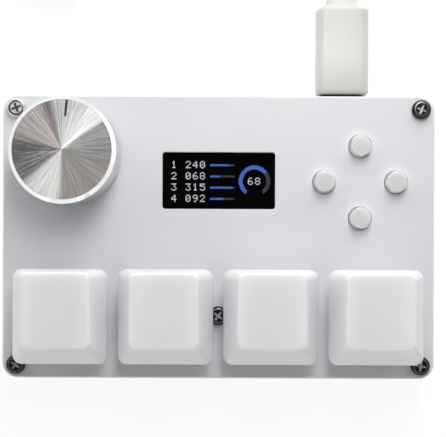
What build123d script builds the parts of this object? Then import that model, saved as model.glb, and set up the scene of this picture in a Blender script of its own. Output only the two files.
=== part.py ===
"""Macro keypad: four mechanical keys, one push knob, a colour screen, four round buttons, a USB-C lead.

Millimetres. X runs left to right, +Y points to the back edge with the USB socket, +Z is up.
The origin is on the table, under the middle of the case.
"""
import os
from math import cos, pi, radians, sin, tan

from build123d import *

os.makedirs("parts", exist_ok=True)

# ---- Case and top plate ----
body_width = 84.0
body_depth = 55.0
corner_radius = 3.0
plate_thickness = 1.5
plate_chamfer = 0.25
wall = 2.4
case_floor = 2.0
case_chamfer = 0.6
inside_corner_radius = 0.6

# ---- Heights, from the table up ----
foot_height = 1.2        # rubber that shows below the case
room_below_board = 2.8
board_thickness = 1.6
switch_seat = 5.0        # top of the board to top of the plate, set by the key switch

case_bottom = foot_height
floor_top = case_bottom + case_floor
board_bottom = floor_top + room_below_board
board_top = board_bottom + board_thickness
plate_top = board_top + switch_seat
plate_bottom = plate_top - plate_thickness

# ---- Where things stand on the plate ----
key_pitch = 20.0
key_row_y = -15.3
knob_x, knob_y = -29.0, 15.85
screen_x, screen_y = 0.0, 11.0
pad_x = 27.5                    # middle of the cross of buttons
pad_arm = 7.0                   # middle of the cross to a button
screw_inset_x, screw_inset_y = 2.7, 2.6
usb_x = 24.15

key_places = [(key_pitch * step, key_row_y) for step in (-1.5, -0.5, 0.5, 1.5)]
screw_x = body_width / 2 - screw_inset_x
screw_y = body_depth / 2 - screw_inset_y
screw_places = [(sx * screw_x, sy * screw_y) for sx in (-1, 1) for sy in (-1, 1)] + [(0, key_row_y)]

# ---- Screws, inserts, bosses, feet ----
screw_diameter = 2.0
screw_length = 6.0
screw_head_diameter = 3.7
screw_head_height = 1.3
screw_head_round = 0.6
screw_clearance = 0.2           # around the shank in the plate
screw_end_gap = 0.6             # end of the screw to the bottom of its bore
recess_length, recess_width, recess_depth = 1.9, 0.4, 0.8   # cross recess
insert_diameter = 3.2
insert_length = 4.0
insert_bore_gap = 0.02
boss_diameter = 4.8
boss_gap = 0.4                  # board to boss
post_diameter = 4.0
foot_diameter = 8.0
foot_inset = 8.0                # case edge to foot centre
foot_recess = 0.4
foot_round = 0.3

foot_x = body_width / 2 - foot_inset
foot_y = body_depth / 2 - foot_inset
foot_places = [(sx * foot_x, sy * foot_y) for sx in (-1, 1) for sy in (-1, 1)]
boss_bore_bottom = plate_top - screw_length - screw_end_gap

# ---- Board ----
board_gap = 0.3                 # board edge to case wall
board_width = body_width - 2 * (wall + board_gap)
board_depth = body_depth - 2 * (wall + board_gap)
post_side_gap = 1.0             # board edge to the rim of a side post
post_x = board_width / 2 - post_side_gap - post_diameter / 2
post_y = board_depth / 2 - post_side_gap - post_diameter / 2
post_places = [(-post_x, -3.0), (post_x, -3.0), (-13.0, post_y), (11.0, post_y)]
post_places += [(-key_pitch, key_row_y), (key_pitch, key_row_y)]

chip_place = (3.0, 8.0)
chip_width, chip_height, chip_corner = 7.0, 0.85, 0.2

# ---- Key switch ----
switch_width = 13.9
switch_cutout_gap = 0.05
flange_lip = 0.85               # flange beyond the body on each side
flange_height = 1.0
switch_wall = 1.2
switch_floor = 1.0
housing_height = 6.6            # plate top to switch top
housing_inset = 0.8             # edge of the flange to the foot of the upper housing
housing_lean_x, housing_lean_y = 1.8, 2.1   # how far each side leans in
housing_wall = 1.0
roof_wall = 0.6                 # side wall where it meets the roof
slider_width, slider_depth = 7.0, 5.7
slider_gap = 0.2                # slider to the rim of the opening
shoulder_lip = 0.7              # shoulder beyond the slider on each side
shoulder_height = 1.4
shoulder_gap = 0.2              # shoulder to the underside of the housing
cross_size = 4.1
cross_bar = 1.25
cross_height = 3.6
key_travel = 4.0
pole_diameter = 2.8
pole_gap = 0.15
pole_end = 1.5                  # board top to the lower end of the pole
pole_end_gap = 0.2              # pole to the bottom of its bore, key down
spring_wire = 0.4
spring_diameter = 4.1           # mean
spring_turns = 8
centre_post_diameter = 4.0
side_post_diameter = 1.7
side_post_offset = 5.08
post_length = 3.3               # below the top of the board
post_hole_gap = 0.05
contact_width, contact_thickness = 0.95, 0.35
contact_gap = 0.05
contact_places = [(-3.81, 2.54, 3.4), (2.54, 5.08, 5.6)]    # x, y, height above the board

flange_width = switch_width + 2 * flange_lip
housing_foot = flange_width - 2 * housing_inset
housing_top_width = housing_foot - 2 * housing_lean_x
housing_top_depth = housing_foot - 2 * housing_lean_y
opening_width, opening_depth = slider_width + 2 * slider_gap, slider_depth + 2 * slider_gap
shoulder_width, shoulder_depth = slider_width + 2 * shoulder_lip, slider_depth + 2 * shoulder_lip
switch_top_z = plate_top + housing_height
shoulder_top = switch_top_z - housing_wall - shoulder_gap
spring_seat = board_top + switch_floor
spring_top = shoulder_top - shoulder_height
pole_bore_bottom = board_top + pole_end - key_travel - pole_end_gap

# ---- Keycap ----
cap_base = 18.1
cap_base_radius = 1.8
cap_skirt = 5.8                 # plate top to the lower edge at rest
cap_height = 8.5
cap_top_width = 12.5
cap_top_depth = 14.0
cap_top_radius = 1.3
cap_back_slope = 0.6            # how far the back edge leans in
cap_dish = 0.8
cap_wall = 1.3
cap_roof = 1.5
cap_edge = 0.45
cap_post_diameter = 5.5
cross_fit = 0.02

cap_bottom_z = plate_top + cap_skirt
cap_top_z = cap_bottom_z + cap_height
cap_top_shift = (cap_base - cap_top_depth) / 2 - cap_back_slope

# ---- Knob and encoder ----
knob_diameter = 20.0
knob_lift = 0.9                 # plate top to knob
knob_height = 11.6
knob_chamfer = 0.75
knob_bottom_chamfer = 0.3
hollow_gap = 0.6                # around the collar of the bushing
knob_push = 0.5
knob_roof = 1.8                 # metal above the shaft
pointer_length, pointer_width, pointer_depth = 3.1, 0.45, 0.2
pointer_angle = -5.8            # from the back edge, clockwise
grub_diameter = 3.0
grub_length = 5.0
grub_height = 8.6               # above the knob's lower edge
grub_socket_radius, grub_socket_depth = 0.75, 1.6
encoder_width, encoder_depth = 11.7, 12.0
encoder_height = 4.8
encoder_gap = 0.25              # around the body in the plate
encoder_corner = 0.6
shaft_diameter = 6.0
shaft_gap = 0.05
shaft_flat_depth = 1.5
flat_gap = 0.3                  # bushing to the D, knob pushed in
bushing_wall = 0.45
bushing_length = 4.4
bushing_lip, bushing_collar_height = 0.4, 0.5
chamber_gap = 0.5               # around the shaft, inside the body
encoder_floor = 0.8
push_pad_diameter, push_pad_height = 4.4, 1.0
push_pad_lift = 0.7             # pad to chamber floor at rest

bushing_diameter = shaft_diameter + 2 * (shaft_gap + bushing_wall)
bushing_collar = bushing_diameter + 2 * bushing_lip
knob_hollow = bushing_collar + 2 * hollow_gap
encoder_bore = shaft_diameter + 2 * chamber_gap
knob_bottom_z = plate_top + knob_lift
knob_top_z = knob_bottom_z + knob_height
encoder_top = board_top + encoder_height
bushing_top = encoder_top + bushing_length
chamber_floor = board_top + encoder_floor
push_pad_z = chamber_floor + push_pad_lift
shaft_bottom = push_pad_z + push_pad_height
shaft_top = knob_top_z - knob_roof
flat_start = bushing_top + knob_push + flat_gap
flat_offset = shaft_diameter / 2 - shaft_flat_depth     # shaft axis to the flat

# ---- Round buttons ----
button_diameter = 4.35
button_height = 1.8             # above the plate
button_gap = 0.13
button_edge = 0.35
button_lip, button_flange = 0.6, 0.5        # flange beyond the cap, and its thickness
button_flange_gap = 0.1         # flange to the underside of the plate
button_travel = 0.25
tact_width = 4.6
tact_height = 1.9
tact_cover = 0.3
tact_floor = 0.5
plunger_diameter = 2.4
plunger_gap = 0.1               # around the plunger in the cover
plunger_lip, plunger_collar_height = 0.4, 0.4
well_gap = 0.2                  # around the collar of the plunger

button_flange_diameter = button_diameter + 2 * button_lip
flange_top = plate_bottom - button_flange_gap
flange_bottom = flange_top - button_flange
plunger_collar = plunger_diameter + 2 * plunger_lip
tact_well = plunger_collar + 2 * well_gap
tact_cover_z = board_top + tact_height

# ---- Screen ----
window_width, window_depth = 22.0, 11.1
window_radius = 0.6
glass_lip_x, glass_lip_y, glass_thickness = 2.0, 1.15, 1.5     # glass beyond the window, and its thickness
glass_gap = 0.1                 # glass to the underside of the plate
holder_rim = 0.9
holder_edge_gap = 0.1
flex_width = 9.0
flex_thickness = 0.2
flex_reach = 2.6                # how far the ribbon stands out past the glass
flex_side_gap = 0.3
flex_tail_gap = 0.2             # end of the ribbon to the holder

glass_width, glass_depth = window_width + 2 * glass_lip_x, window_depth + 2 * glass_lip_y
glass_bottom = plate_bottom - glass_gap - glass_thickness
seat_width, seat_depth = glass_width + 2 * holder_edge_gap, glass_depth + 2 * holder_edge_gap
holder_width, holder_depth = seat_width + 2 * holder_rim, seat_depth + 2 * holder_rim

# ---- USB-C socket and plug ----
socket_width, socket_height, socket_length = 8.94, 3.2, 6.5
socket_shell = 0.3
socket_setback = 0.2            # front of the socket to the outside of the case
socket_case_gap = 0.2
socket_back_wall = 0.3
tongue_width, tongue_height = 6.7, 0.7
tongue_setback = 0.9            # front of the socket to the end of its tongue
plug_shell_width, plug_shell_height, plug_shell_length = 8.3, 2.55, 5.9
plug_shell_wall = 0.3
plug_width, plug_height, plug_length = 10.2, 6.0, 17.45
plug_edge = 1.4
plug_nose_chamfer = 0.35
plug_case_gap = 0.6
plug_shoulder = 0.9
button_socket_gap = 0.225       # flange of the upper button to the back of the socket
relief_width, relief_height, relief_length = 6.2, 5.4, 12.0
relief_step = 0.2               # plug body to relief
relief_corner = 2.2
relief_end_wall, relief_core = 0.4, 0.25    # over the lead: at the end, and inside the grooves
relief_grooves, relief_groove, relief_groove_pitch = 6, 0.45, 1.5

socket_mouth_width, socket_mouth_height = socket_width - 2 * socket_shell, socket_height - 2 * socket_shell
plug_mouth_width = plug_shell_width - 2 * plug_shell_wall
plug_mouth_height = plug_shell_height - 2 * plug_shell_wall
usb_z = board_top + socket_height / 2
socket_front = body_depth / 2 - socket_setback
socket_back = socket_front - socket_length
pad_y = socket_back - button_socket_gap - button_flange_diameter / 2 - pad_arm
button_places = {
    "up": (pad_x, pad_y + pad_arm),
    "left": (pad_x - pad_arm, pad_y),
    "right": (pad_x + pad_arm, pad_y),
    "down": (pad_x, pad_y - pad_arm),
}
plug_front = body_depth / 2 + plug_case_gap
plug_back = plug_front + plug_length
relief_back = plug_back + relief_length

# ---- Lead: its route, coil and far plug ----
cord_diameter = 4.0
coil_x, coil_y = 2.0, 112.0
coil_mean_radius = 22.0
coil_rows = 4                   # turns side by side
coil_layers = 2
coil_round = 1.8
tie_thickness = 0.7
tie_arc = 24.0                  # degrees of the coil that the strap covers
tie_turn = 205.0                # where the strap starts round the coil
far_plug_width, far_plug_height, far_plug_length = 15.6, 8.0, 19.0
far_relief_length = 5.0
far_shell_width, far_shell_height, far_shell_length = 12.0, 4.5, 18.0
far_shell_wall = 0.35
far_insert_setback = 1.5        # mouth of the shell to the insulating block inside
far_window_width, far_window_length = 2.4, 2.6
far_window_x = 3.1              # middle of the shell to a window
far_window_setback = 6.0        # mouth of the shell to the middle of a window
far_relief_wall, far_relief_root = 0.4, 1.2
far_plug_corner, far_plug_chamfer = 1.6, 0.5
far_plug_heading = -88.1        # direction in which the far plug points

cord_radius = cord_diameter / 2
far_mouth_width = far_shell_width - 2 * far_shell_wall
far_mouth_height = far_shell_height - 2 * far_shell_wall
bundle_width = coil_rows * cord_diameter
bundle_height = coil_layers * cord_diameter
coil_bottom = tie_thickness
# the lead from the strain relief down to the table and into the coil
lead_points = [
    (usb_x, relief_back, usb_z),
    (24.15, 65.5, 9.2),
    (25.0, 76.2, 5.5),
    (26.9, 88.0, 2.7),
    (29.1, 99.5, 2.75),
    (29.8, 107.0, 2.7),
]
# the end that leaves the outer turn of the upper layer and comes down to the far plug
tail_points = [
    (-1.6, 139.4, 6.7),
    (-12.0, 137.6, 6.6),
    (-22.4, 131.4, 5.6),
    (-30.2, 122.4, 4.2),
    (-34.4, 111.6, 3.4),
    (-35.2, 101.0, 4.0),
    (-34.9, 92.0, 4.0),
]


def save(piece, name):
    """Label a finished piece and write it as a STEP file of its own."""
    piece.part.label = name
    export_step(piece.part, f"parts/{name}.step")


# ---- Top plate ----
with BuildPart() as top_plate:
    with BuildSketch(Plane.XY.offset(plate_bottom)):
        RectangleRounded(body_width, body_depth, corner_radius)
    extrude(amount=plate_thickness)
    chamfer(top_plate.faces().sort_by(Axis.Z)[-1].edges(), plate_chamfer)
    with BuildSketch(Plane.XY.offset(plate_bottom)):
        with Locations(*key_places):
            Rectangle(switch_width + 2 * switch_cutout_gap, switch_width + 2 * switch_cutout_gap)
        with Locations((screen_x, screen_y)):
            RectangleRounded(window_width, window_depth, window_radius)
        with Locations((knob_x, knob_y)):
            Rectangle(encoder_width + 2 * encoder_gap, encoder_depth + 2 * encoder_gap)
        with Locations(*button_places.values()):
            Circle(button_diameter / 2 + button_gap)
        with Locations(*screw_places):
            Circle(screw_diameter / 2 + screw_clearance)
    extrude(amount=plate_thickness, mode=Mode.SUBTRACT)
save(top_plate, "top_plate")

# ---- Bottom case: floor, walls, screw bosses, board posts, notch for the USB socket ----
with BuildPart() as bottom_case:
    with BuildSketch(Plane.XY.offset(case_bottom)):
        RectangleRounded(body_width, body_depth, corner_radius)
    extrude(amount=plate_bottom - case_bottom)
    chamfer(bottom_case.faces().sort_by(Axis.Z)[0].edges(), case_chamfer)
    with BuildSketch(Plane.XY.offset(floor_top)):
        RectangleRounded(body_width - 2 * wall, body_depth - 2 * wall, inside_corner_radius)
    extrude(amount=plate_bottom - floor_top, mode=Mode.SUBTRACT)
    with BuildSketch(Plane.XY.offset(floor_top)):
        with Locations(*screw_places):
            Circle(boss_diameter / 2)
    extrude(amount=plate_bottom - floor_top)
    with BuildSketch(Plane.XY.offset(floor_top)):
        with Locations(*post_places):
            Circle(post_diameter / 2)
    extrude(amount=room_below_board)
    with BuildSketch(Plane.XY.offset(plate_bottom)):
        with Locations(*screw_places):
            Circle(insert_diameter / 2)
    extrude(amount=-insert_length, mode=Mode.SUBTRACT)
    with BuildSketch(Plane.XY.offset(plate_bottom)):
        with Locations(*screw_places):
            Circle(screw_diameter / 2 + screw_clearance)
    extrude(amount=boss_bore_bottom - plate_bottom, mode=Mode.SUBTRACT)
    with BuildSketch(Plane.XZ.offset(-body_depth / 2)):
        with Locations((usb_x, usb_z)):
            SlotOverall(socket_width + 2 * socket_case_gap, socket_height + 2 * socket_case_gap)
            Rectangle(socket_width + 2 * socket_case_gap, plate_top - usb_z, align=(Align.CENTER, Align.MIN))
    extrude(amount=wall, mode=Mode.SUBTRACT)
    with BuildSketch(Plane.XY.offset(case_bottom)):
        with Locations(*foot_places):
            Circle(foot_diameter / 2)
    extrude(amount=foot_recess, mode=Mode.SUBTRACT)
save(bottom_case, "bottom_case")

# ---- Rubber feet ----
with BuildPart() as rubber_feet:
    with BuildSketch():
        with Locations(*foot_places):
            Circle(foot_diameter / 2)
    extrude(amount=foot_height + foot_recess)
    fillet(rubber_feet.edges().group_by(Axis.Z)[0], foot_round)
save(rubber_feet, "rubber_feet")

# ---- Threaded brass inserts in the bosses ----
with BuildPart() as threaded_inserts:
    with BuildSketch(Plane.XY.offset(plate_bottom)):
        with Locations(*screw_places):
            Circle(insert_diameter / 2)
            Circle(screw_diameter / 2 + insert_bore_gap, mode=Mode.SUBTRACT)
    extrude(amount=-insert_length)
save(threaded_inserts, "threaded_inserts")

# ---- Pan-head screws with a cross recess ----
with BuildPart() as case_screws:
    with BuildSketch(Plane.XY.offset(plate_top)):
        with Locations(*screw_places):
            Circle(screw_head_diameter / 2)
    extrude(amount=screw_head_height)
    fillet(case_screws.edges().group_by(Axis.Z)[-1], screw_head_round)
    with BuildSketch(Plane.XY.offset(plate_top)):
        with Locations(*screw_places):
            Circle(screw_diameter / 2)
    extrude(amount=-screw_length)
    with BuildSketch(Plane.XY.offset(plate_top + screw_head_height)):
        with Locations(*screw_places):
            Rectangle(recess_length, recess_width)
            Rectangle(recess_width, recess_length)
    extrude(amount=-recess_depth, mode=Mode.SUBTRACT)
save(case_screws, "case_screws")

# ---- Main board, with every hole that a part passes through ----
with BuildPart() as main_pcb:
    with BuildSketch(Plane.XY.offset(board_bottom)):
        Rectangle(board_width, board_depth)
        with Locations(*screw_places):
            Circle(boss_diameter / 2 + boss_gap, mode=Mode.SUBTRACT)
        with Locations(*key_places):
            Circle(centre_post_diameter / 2 + post_hole_gap, mode=Mode.SUBTRACT)
            with Locations((-side_post_offset, 0), (side_post_offset, 0)):
                Circle(side_post_diameter / 2 + post_hole_gap, mode=Mode.SUBTRACT)
            with Locations(*[(x, y) for x, y, _ in contact_places]):
                Circle(contact_width / 2 + contact_gap, mode=Mode.SUBTRACT)
    extrude(amount=board_thickness)
save(main_pcb, "main_pcb")


# ---- Key switches ----
def make_switch_base(name, x, y):
    """Lower housing: body in the plate, flange on it, centre and side posts through the board."""
    with BuildPart() as base:
        with BuildSketch(Plane.XY.offset(board_top)):
            with Locations((x, y)):
                Rectangle(switch_width, switch_width)
        extrude(amount=switch_seat)
        with BuildSketch(Plane.XY.offset(plate_top)):
            with Locations((x, y)):
                Rectangle(flange_width, flange_width)
        extrude(amount=flange_height)
        with BuildSketch(Plane.XY.offset(spring_seat)):
            with Locations((x, y)):
                Rectangle(switch_width - 2 * switch_wall, switch_width - 2 * switch_wall)
        extrude(amount=switch_seat + flange_height, mode=Mode.SUBTRACT)
        with BuildSketch(Plane.XY.offset(board_top)):
            with Locations((x, y)):
                Circle(centre_post_diameter / 2)
                with Locations((-side_post_offset, 0), (side_post_offset, 0)):
                    Circle(side_post_diameter / 2)
        extrude(amount=-post_length)
        with BuildSketch(Plane.XY.offset(spring_seat)):
            with Locations((x, y)):
                Circle(pole_diameter / 2 + pole_gap)
        extrude(amount=pole_bore_bottom - spring_seat, mode=Mode.SUBTRACT)
        with BuildSketch(Plane.XY.offset(board_top)):
            with Locations((x, y)):
                with Locations(*[(px, py) for px, py, _ in contact_places]):
                    Rectangle(contact_width + 2 * contact_gap, contact_thickness + 2 * contact_gap)
        extrude(amount=switch_floor, mode=Mode.SUBTRACT)
    save(base, name)


def make_switch_top(name, x, y):
    """Upper housing: a tapered hood with an opening for the slider."""
    hood_foot = plate_top + flange_height
    with BuildPart() as hood:
        with BuildSketch(Plane.XY.offset(hood_foot)):
            with Locations((x, y)):
                Rectangle(housing_foot, housing_foot)
        with BuildSketch(Plane.XY.offset(switch_top_z)):
            with Locations((x, y)):
                Rectangle(housing_top_width, housing_top_depth)
        loft()
        with BuildSketch(Plane.XY.offset(hood_foot)):
            with Locations((x, y)):
                Rectangle(housing_foot - 2 * housing_wall, housing_foot - 2 * housing_wall)
        with BuildSketch(Plane.XY.offset(switch_top_z - housing_wall)):
            with Locations((x, y)):
                Rectangle(housing_top_width - 2 * roof_wall, housing_top_depth - 2 * roof_wall)
        loft(mode=Mode.SUBTRACT)
        with BuildSketch(Plane.XY.offset(switch_top_z)):
            with Locations((x, y)):
                Rectangle(opening_width, opening_depth)
        extrude(amount=-2 * housing_wall, mode=Mode.SUBTRACT)
    save(hood, name)


def make_switch_stem(name, x, y):
    """Slider with its cross, its shoulder below the housing and the pole inside the spring."""
    with BuildPart() as stem:
        with BuildSketch(Plane.XY.offset(spring_top)):
            with Locations((x, y)):
                Rectangle(shoulder_width, shoulder_depth)
        extrude(amount=shoulder_height)
        with BuildSketch(Plane.XY.offset(shoulder_top)):
            with Locations((x, y)):
                Rectangle(slider_width, slider_depth)
        extrude(amount=switch_top_z - shoulder_top)
        with BuildSketch(Plane.XY.offset(switch_top_z)):
            with Locations((x, y)):
                Rectangle(cross_size, cross_bar)
                Rectangle(cross_bar, cross_size)
        extrude(amount=cross_height)
        with BuildSketch(Plane.XY.offset(spring_top)):
            with Locations((x, y)):
                Circle(pole_diameter / 2)
        extrude(amount=board_top + pole_end - spring_top)
    save(stem, name)


def make_switch_spring(name, x, y):
    """Coil spring between the switch floor and the shoulder of the stem."""
    coil_start = spring_seat + spring_wire / 2
    coil_height = spring_top - spring_seat - spring_wire
    with BuildPart() as spring:
        with BuildLine():
            wire = Helix(coil_height / spring_turns, coil_height, spring_diameter / 2, (x, y, coil_start))
        with BuildSketch(Plane(wire @ 0, z_dir=wire % 0)):
            Circle(spring_wire / 2)
        sweep(path=wire, is_frenet=True)
    save(spring, name)


def make_keycap(name, x, y):
    """Hollow cap, leaning in more at the front, with a dished top and a post that grips the cross."""
    top_place = (x, y + cap_top_shift)
    dish_radius = ((cap_top_width / 2) ** 2 + cap_dish**2) / (2 * cap_dish)
    with BuildPart() as cap:
        with BuildSketch(Plane.XY.offset(cap_bottom_z)):
            with Locations((x, y)):
                RectangleRounded(cap_base, cap_base, cap_base_radius)
        with BuildSketch(Plane.XY.offset(cap_top_z)):
            with Locations(top_place):
                RectangleRounded(cap_top_width, cap_top_depth, cap_top_radius)
        loft()
        with BuildSketch(Plane.XZ.offset(-y - cap_base)):
            with Locations((x, cap_top_z + dish_radius - cap_dish)):
                Circle(dish_radius)
        extrude(amount=2 * cap_base, mode=Mode.SUBTRACT)
        fillet(cap.faces().sort_by(Axis.Z)[-1].edges(), cap_edge)
        with BuildSketch(Plane.XY.offset(cap_bottom_z)):
            with Locations((x, y)):
                RectangleRounded(cap_base - 2 * cap_wall, cap_base - 2 * cap_wall, cap_base_radius / 2)
        with BuildSketch(Plane.XY.offset(cap_top_z - cap_dish - cap_roof)):
            with Locations((x, y + cap_top_shift)):
                RectangleRounded(cap_top_width - cap_wall, cap_top_depth - cap_wall, cap_top_radius / 2)
        loft(mode=Mode.SUBTRACT)
        with BuildSketch(Plane.XY.offset(switch_top_z + cross_fit)):
            with Locations((x, y)):
                Circle(cap_post_diameter / 2)
                Rectangle(cross_size + 2 * cross_fit, cross_bar + 2 * cross_fit, mode=Mode.SUBTRACT)
                Rectangle(cross_bar + 2 * cross_fit, cross_size + 2 * cross_fit, mode=Mode.SUBTRACT)
        extrude(amount=cross_height)
        with BuildSketch(Plane.XY.offset(switch_top_z + cross_height + cross_fit)):
            with Locations((x, y)):
                Circle(cap_post_diameter / 2)
        extrude(amount=cap_top_z - cap_dish - cap_roof - switch_top_z - cross_height)
    save(cap, name)


for number, (key_x, key_y) in enumerate(key_places, start=1):
    make_switch_base(f"switch_base_{number}", key_x, key_y)
    make_switch_top(f"switch_top_{number}", key_x, key_y)
    make_switch_stem(f"switch_stem_{number}", key_x, key_y)
    make_switch_spring(f"switch_spring_{number}", key_x, key_y)
    make_keycap(f"keycap_{number}", key_x, key_y)

# ---- Contacts of the four switches: a pin through the board, a leaf inside the housing ----
with BuildPart() as switch_contacts:
    for pin_x, pin_y, leaf_height in contact_places:
        with BuildSketch(Plane.XY.offset(board_top - post_length)):
            with Locations(*[(x + pin_x, y + pin_y) for x, y in key_places]):
                Rectangle(contact_width, contact_thickness)
        extrude(amount=post_length + leaf_height)
save(switch_contacts, "switch_contacts")

# ---- Encoder: body on the board, bushing, shaft and the pad of its push switch ----
with BuildPart() as encoder_body:
    with BuildSketch(Plane.XY.offset(board_top)):
        with Locations((knob_x, knob_y)):
            Rectangle(encoder_width, encoder_depth)
    extrude(amount=encoder_height)
    chamfer(encoder_body.edges().filter_by(Axis.Z), encoder_corner)
    with BuildSketch(Plane.XY.offset(chamber_floor)):
        with Locations((knob_x, knob_y)):
            Circle(encoder_bore / 2)
    extrude(amount=encoder_height, mode=Mode.SUBTRACT)
save(encoder_body, "encoder_body")

with BuildPart() as encoder_bushing:
    with BuildSketch(Plane.XY.offset(encoder_top)):
        with Locations((knob_x, knob_y)):
            Circle(bushing_collar / 2)
            Circle(shaft_diameter / 2 + shaft_gap, mode=Mode.SUBTRACT)
    extrude(amount=bushing_collar_height)
    with BuildSketch(Plane.XY.offset(encoder_top)):
        with Locations((knob_x, knob_y)):
            Circle(bushing_diameter / 2)
            Circle(shaft_diameter / 2 + shaft_gap, mode=Mode.SUBTRACT)
    extrude(amount=bushing_length)
save(encoder_bushing, "encoder_bushing")

with BuildPart() as encoder_shaft:
    with BuildSketch(Plane.XY.offset(shaft_bottom)):
        with Locations((knob_x, knob_y)):
            Circle(shaft_diameter / 2)
    extrude(amount=shaft_top - shaft_bottom)
    with BuildSketch(Plane.XY.offset(flat_start)):
        with Locations((knob_x, knob_y + flat_offset)):
            Rectangle(shaft_diameter, shaft_diameter, align=(Align.CENTER, Align.MIN))
    extrude(amount=shaft_top - flat_start, mode=Mode.SUBTRACT)
save(encoder_shaft, "encoder_shaft")

with BuildPart() as encoder_push_pad:
    with BuildSketch(Plane.XY.offset(push_pad_z)):
        with Locations((knob_x, knob_y)):
            Circle(push_pad_diameter / 2)
    extrude(amount=push_pad_height)
save(encoder_push_pad, "encoder_push_pad")

# ---- Knob: turned aluminium, bright chamfered rim, a short pointer groove, hollow over the bushing ----
with BuildPart() as knob:
    with BuildSketch(Plane.XY.offset(knob_bottom_z)):
        with Locations((knob_x, knob_y)):
            Circle(knob_diameter / 2)
    extrude(amount=knob_height)
    chamfer(knob.edges().group_by(Axis.Z)[-1], knob_chamfer)
    chamfer(knob.edges().group_by(Axis.Z)[0], knob_bottom_chamfer)
    with BuildSketch(Plane.XY.offset(knob_bottom_z)):
        with Locations((knob_x, knob_y)):
            Circle(knob_hollow / 2)
    extrude(amount=flat_start - knob_bottom_z, mode=Mode.SUBTRACT)
    with BuildSketch(Plane.XY.offset(flat_start)):
        with Locations((knob_x, knob_y)):
            Circle(shaft_diameter / 2)
        with Locations((knob_x, knob_y + flat_offset)):
            Rectangle(shaft_diameter, shaft_diameter, align=(Align.CENTER, Align.MIN), mode=Mode.SUBTRACT)
    extrude(amount=shaft_top - flat_start, mode=Mode.SUBTRACT)
    with BuildSketch(Plane.XZ.offset(-knob_y)):
        with Locations((knob_x, knob_bottom_z + grub_height)):
            Circle(grub_diameter / 2)
    extrude(amount=-knob_diameter, mode=Mode.SUBTRACT)
    pointer_plane = Plane((knob_x, knob_y, knob_top_z)).rotated((0, 0, pointer_angle))
    with BuildSketch(pointer_plane):
        with Locations((0, knob_diameter / 2)):
            Rectangle(pointer_width, knob_chamfer + pointer_length, align=(Align.CENTER, Align.MAX))
    extrude(amount=-pointer_depth, mode=Mode.SUBTRACT)
save(knob, "knob")

with BuildPart() as knob_grub_screw:
    with BuildSketch(Plane.XZ.offset(-knob_y - flat_offset)):
        with Locations((knob_x, knob_bottom_z + grub_height)):
            Circle(grub_diameter / 2)
    extrude(amount=-grub_length)
    with BuildSketch(Plane(knob_grub_screw.faces().sort_by(Axis.Y)[-1])):
        RegularPolygon(grub_socket_radius, 6)
    extrude(amount=-grub_socket_depth, mode=Mode.SUBTRACT)
save(knob_grub_screw, "knob_grub_screw")

# ---- Round buttons and the tact switches below them ----
for side, (button_x, button_y) in button_places.items():
    with BuildPart() as button_cap:
        with BuildSketch(Plane.XY.offset(flange_bottom)):
            with Locations((button_x, button_y)):
                Circle(button_flange_diameter / 2)
        extrude(amount=button_flange)
        with BuildSketch(Plane.XY.offset(flange_bottom)):
            with Locations((button_x, button_y)):
                Circle(button_diameter / 2)
        extrude(amount=plate_top + button_height - flange_bottom)
        fillet(button_cap.edges().group_by(Axis.Z)[-1], button_edge)
    save(button_cap, f"button_cap_{side}")

    with BuildPart() as tact_plunger:
        with BuildSketch(Plane.XY.offset(tact_cover_z - plunger_collar_height)):
            with Locations((button_x, button_y)):
                Circle(plunger_collar / 2)
        extrude(amount=plunger_collar_height)
        with BuildSketch(Plane.XY.offset(tact_cover_z)):
            with Locations((button_x, button_y)):
                Circle(plunger_diameter / 2)
        extrude(amount=flange_bottom - tact_cover_z)
    save(tact_plunger, f"tact_plunger_{side}")

with BuildPart() as tact_switch_bodies:
    with BuildSketch(Plane.XY.offset(board_top)):
        with Locations(*button_places.values()):
            Rectangle(tact_width, tact_width)
    extrude(amount=tact_height)
    with BuildSketch(Plane.XY.offset(board_top + tact_floor)):
        with Locations(*button_places.values()):
            Circle(tact_well / 2)
    extrude(amount=tact_height, mode=Mode.SUBTRACT)
save(tact_switch_bodies, "tact_switch_bodies")

with BuildPart() as tact_switch_covers:
    with BuildSketch(Plane.XY.offset(tact_cover_z)):
        with Locations(*button_places.values()):
            Rectangle(tact_width, tact_width)
            Circle(plunger_diameter / 2 + plunger_gap, mode=Mode.SUBTRACT)
    extrude(amount=tact_cover)
save(tact_switch_covers, "tact_switch_covers")

# ---- Screen: glass, its holder on the board and the ribbon to the board ----
with BuildPart() as lcd_glass:
    with BuildSketch(Plane.XY.offset(glass_bottom)):
        with Locations((screen_x, screen_y)):
            Rectangle(glass_width, glass_depth)
    extrude(amount=glass_thickness)
save(lcd_glass, "lcd_glass")

with BuildPart() as lcd_frame:
    with BuildSketch(Plane.XY.offset(board_top)):
        with Locations((screen_x, screen_y)):
            Rectangle(holder_width, holder_depth)
            Rectangle(glass_width - 2 * holder_rim, glass_depth - 2 * holder_rim, mode=Mode.SUBTRACT)
    extrude(amount=glass_bottom - board_top)
    with BuildSketch(Plane.XY.offset(glass_bottom)):
        with Locations((screen_x, screen_y)):
            Rectangle(holder_width, holder_depth)
            Rectangle(seat_width, seat_depth, mode=Mode.SUBTRACT)
    extrude(amount=glass_thickness / 2)
    with BuildSketch(Plane.XY.offset(glass_bottom - flex_thickness)):
        with Locations((screen_x - holder_width / 2, screen_y)):
            Rectangle(3 * holder_rim, flex_width + 2 * flex_side_gap, align=(Align.MIN, Align.CENTER))
    extrude(amount=glass_thickness, mode=Mode.SUBTRACT)
save(lcd_frame, "lcd_frame")

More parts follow.
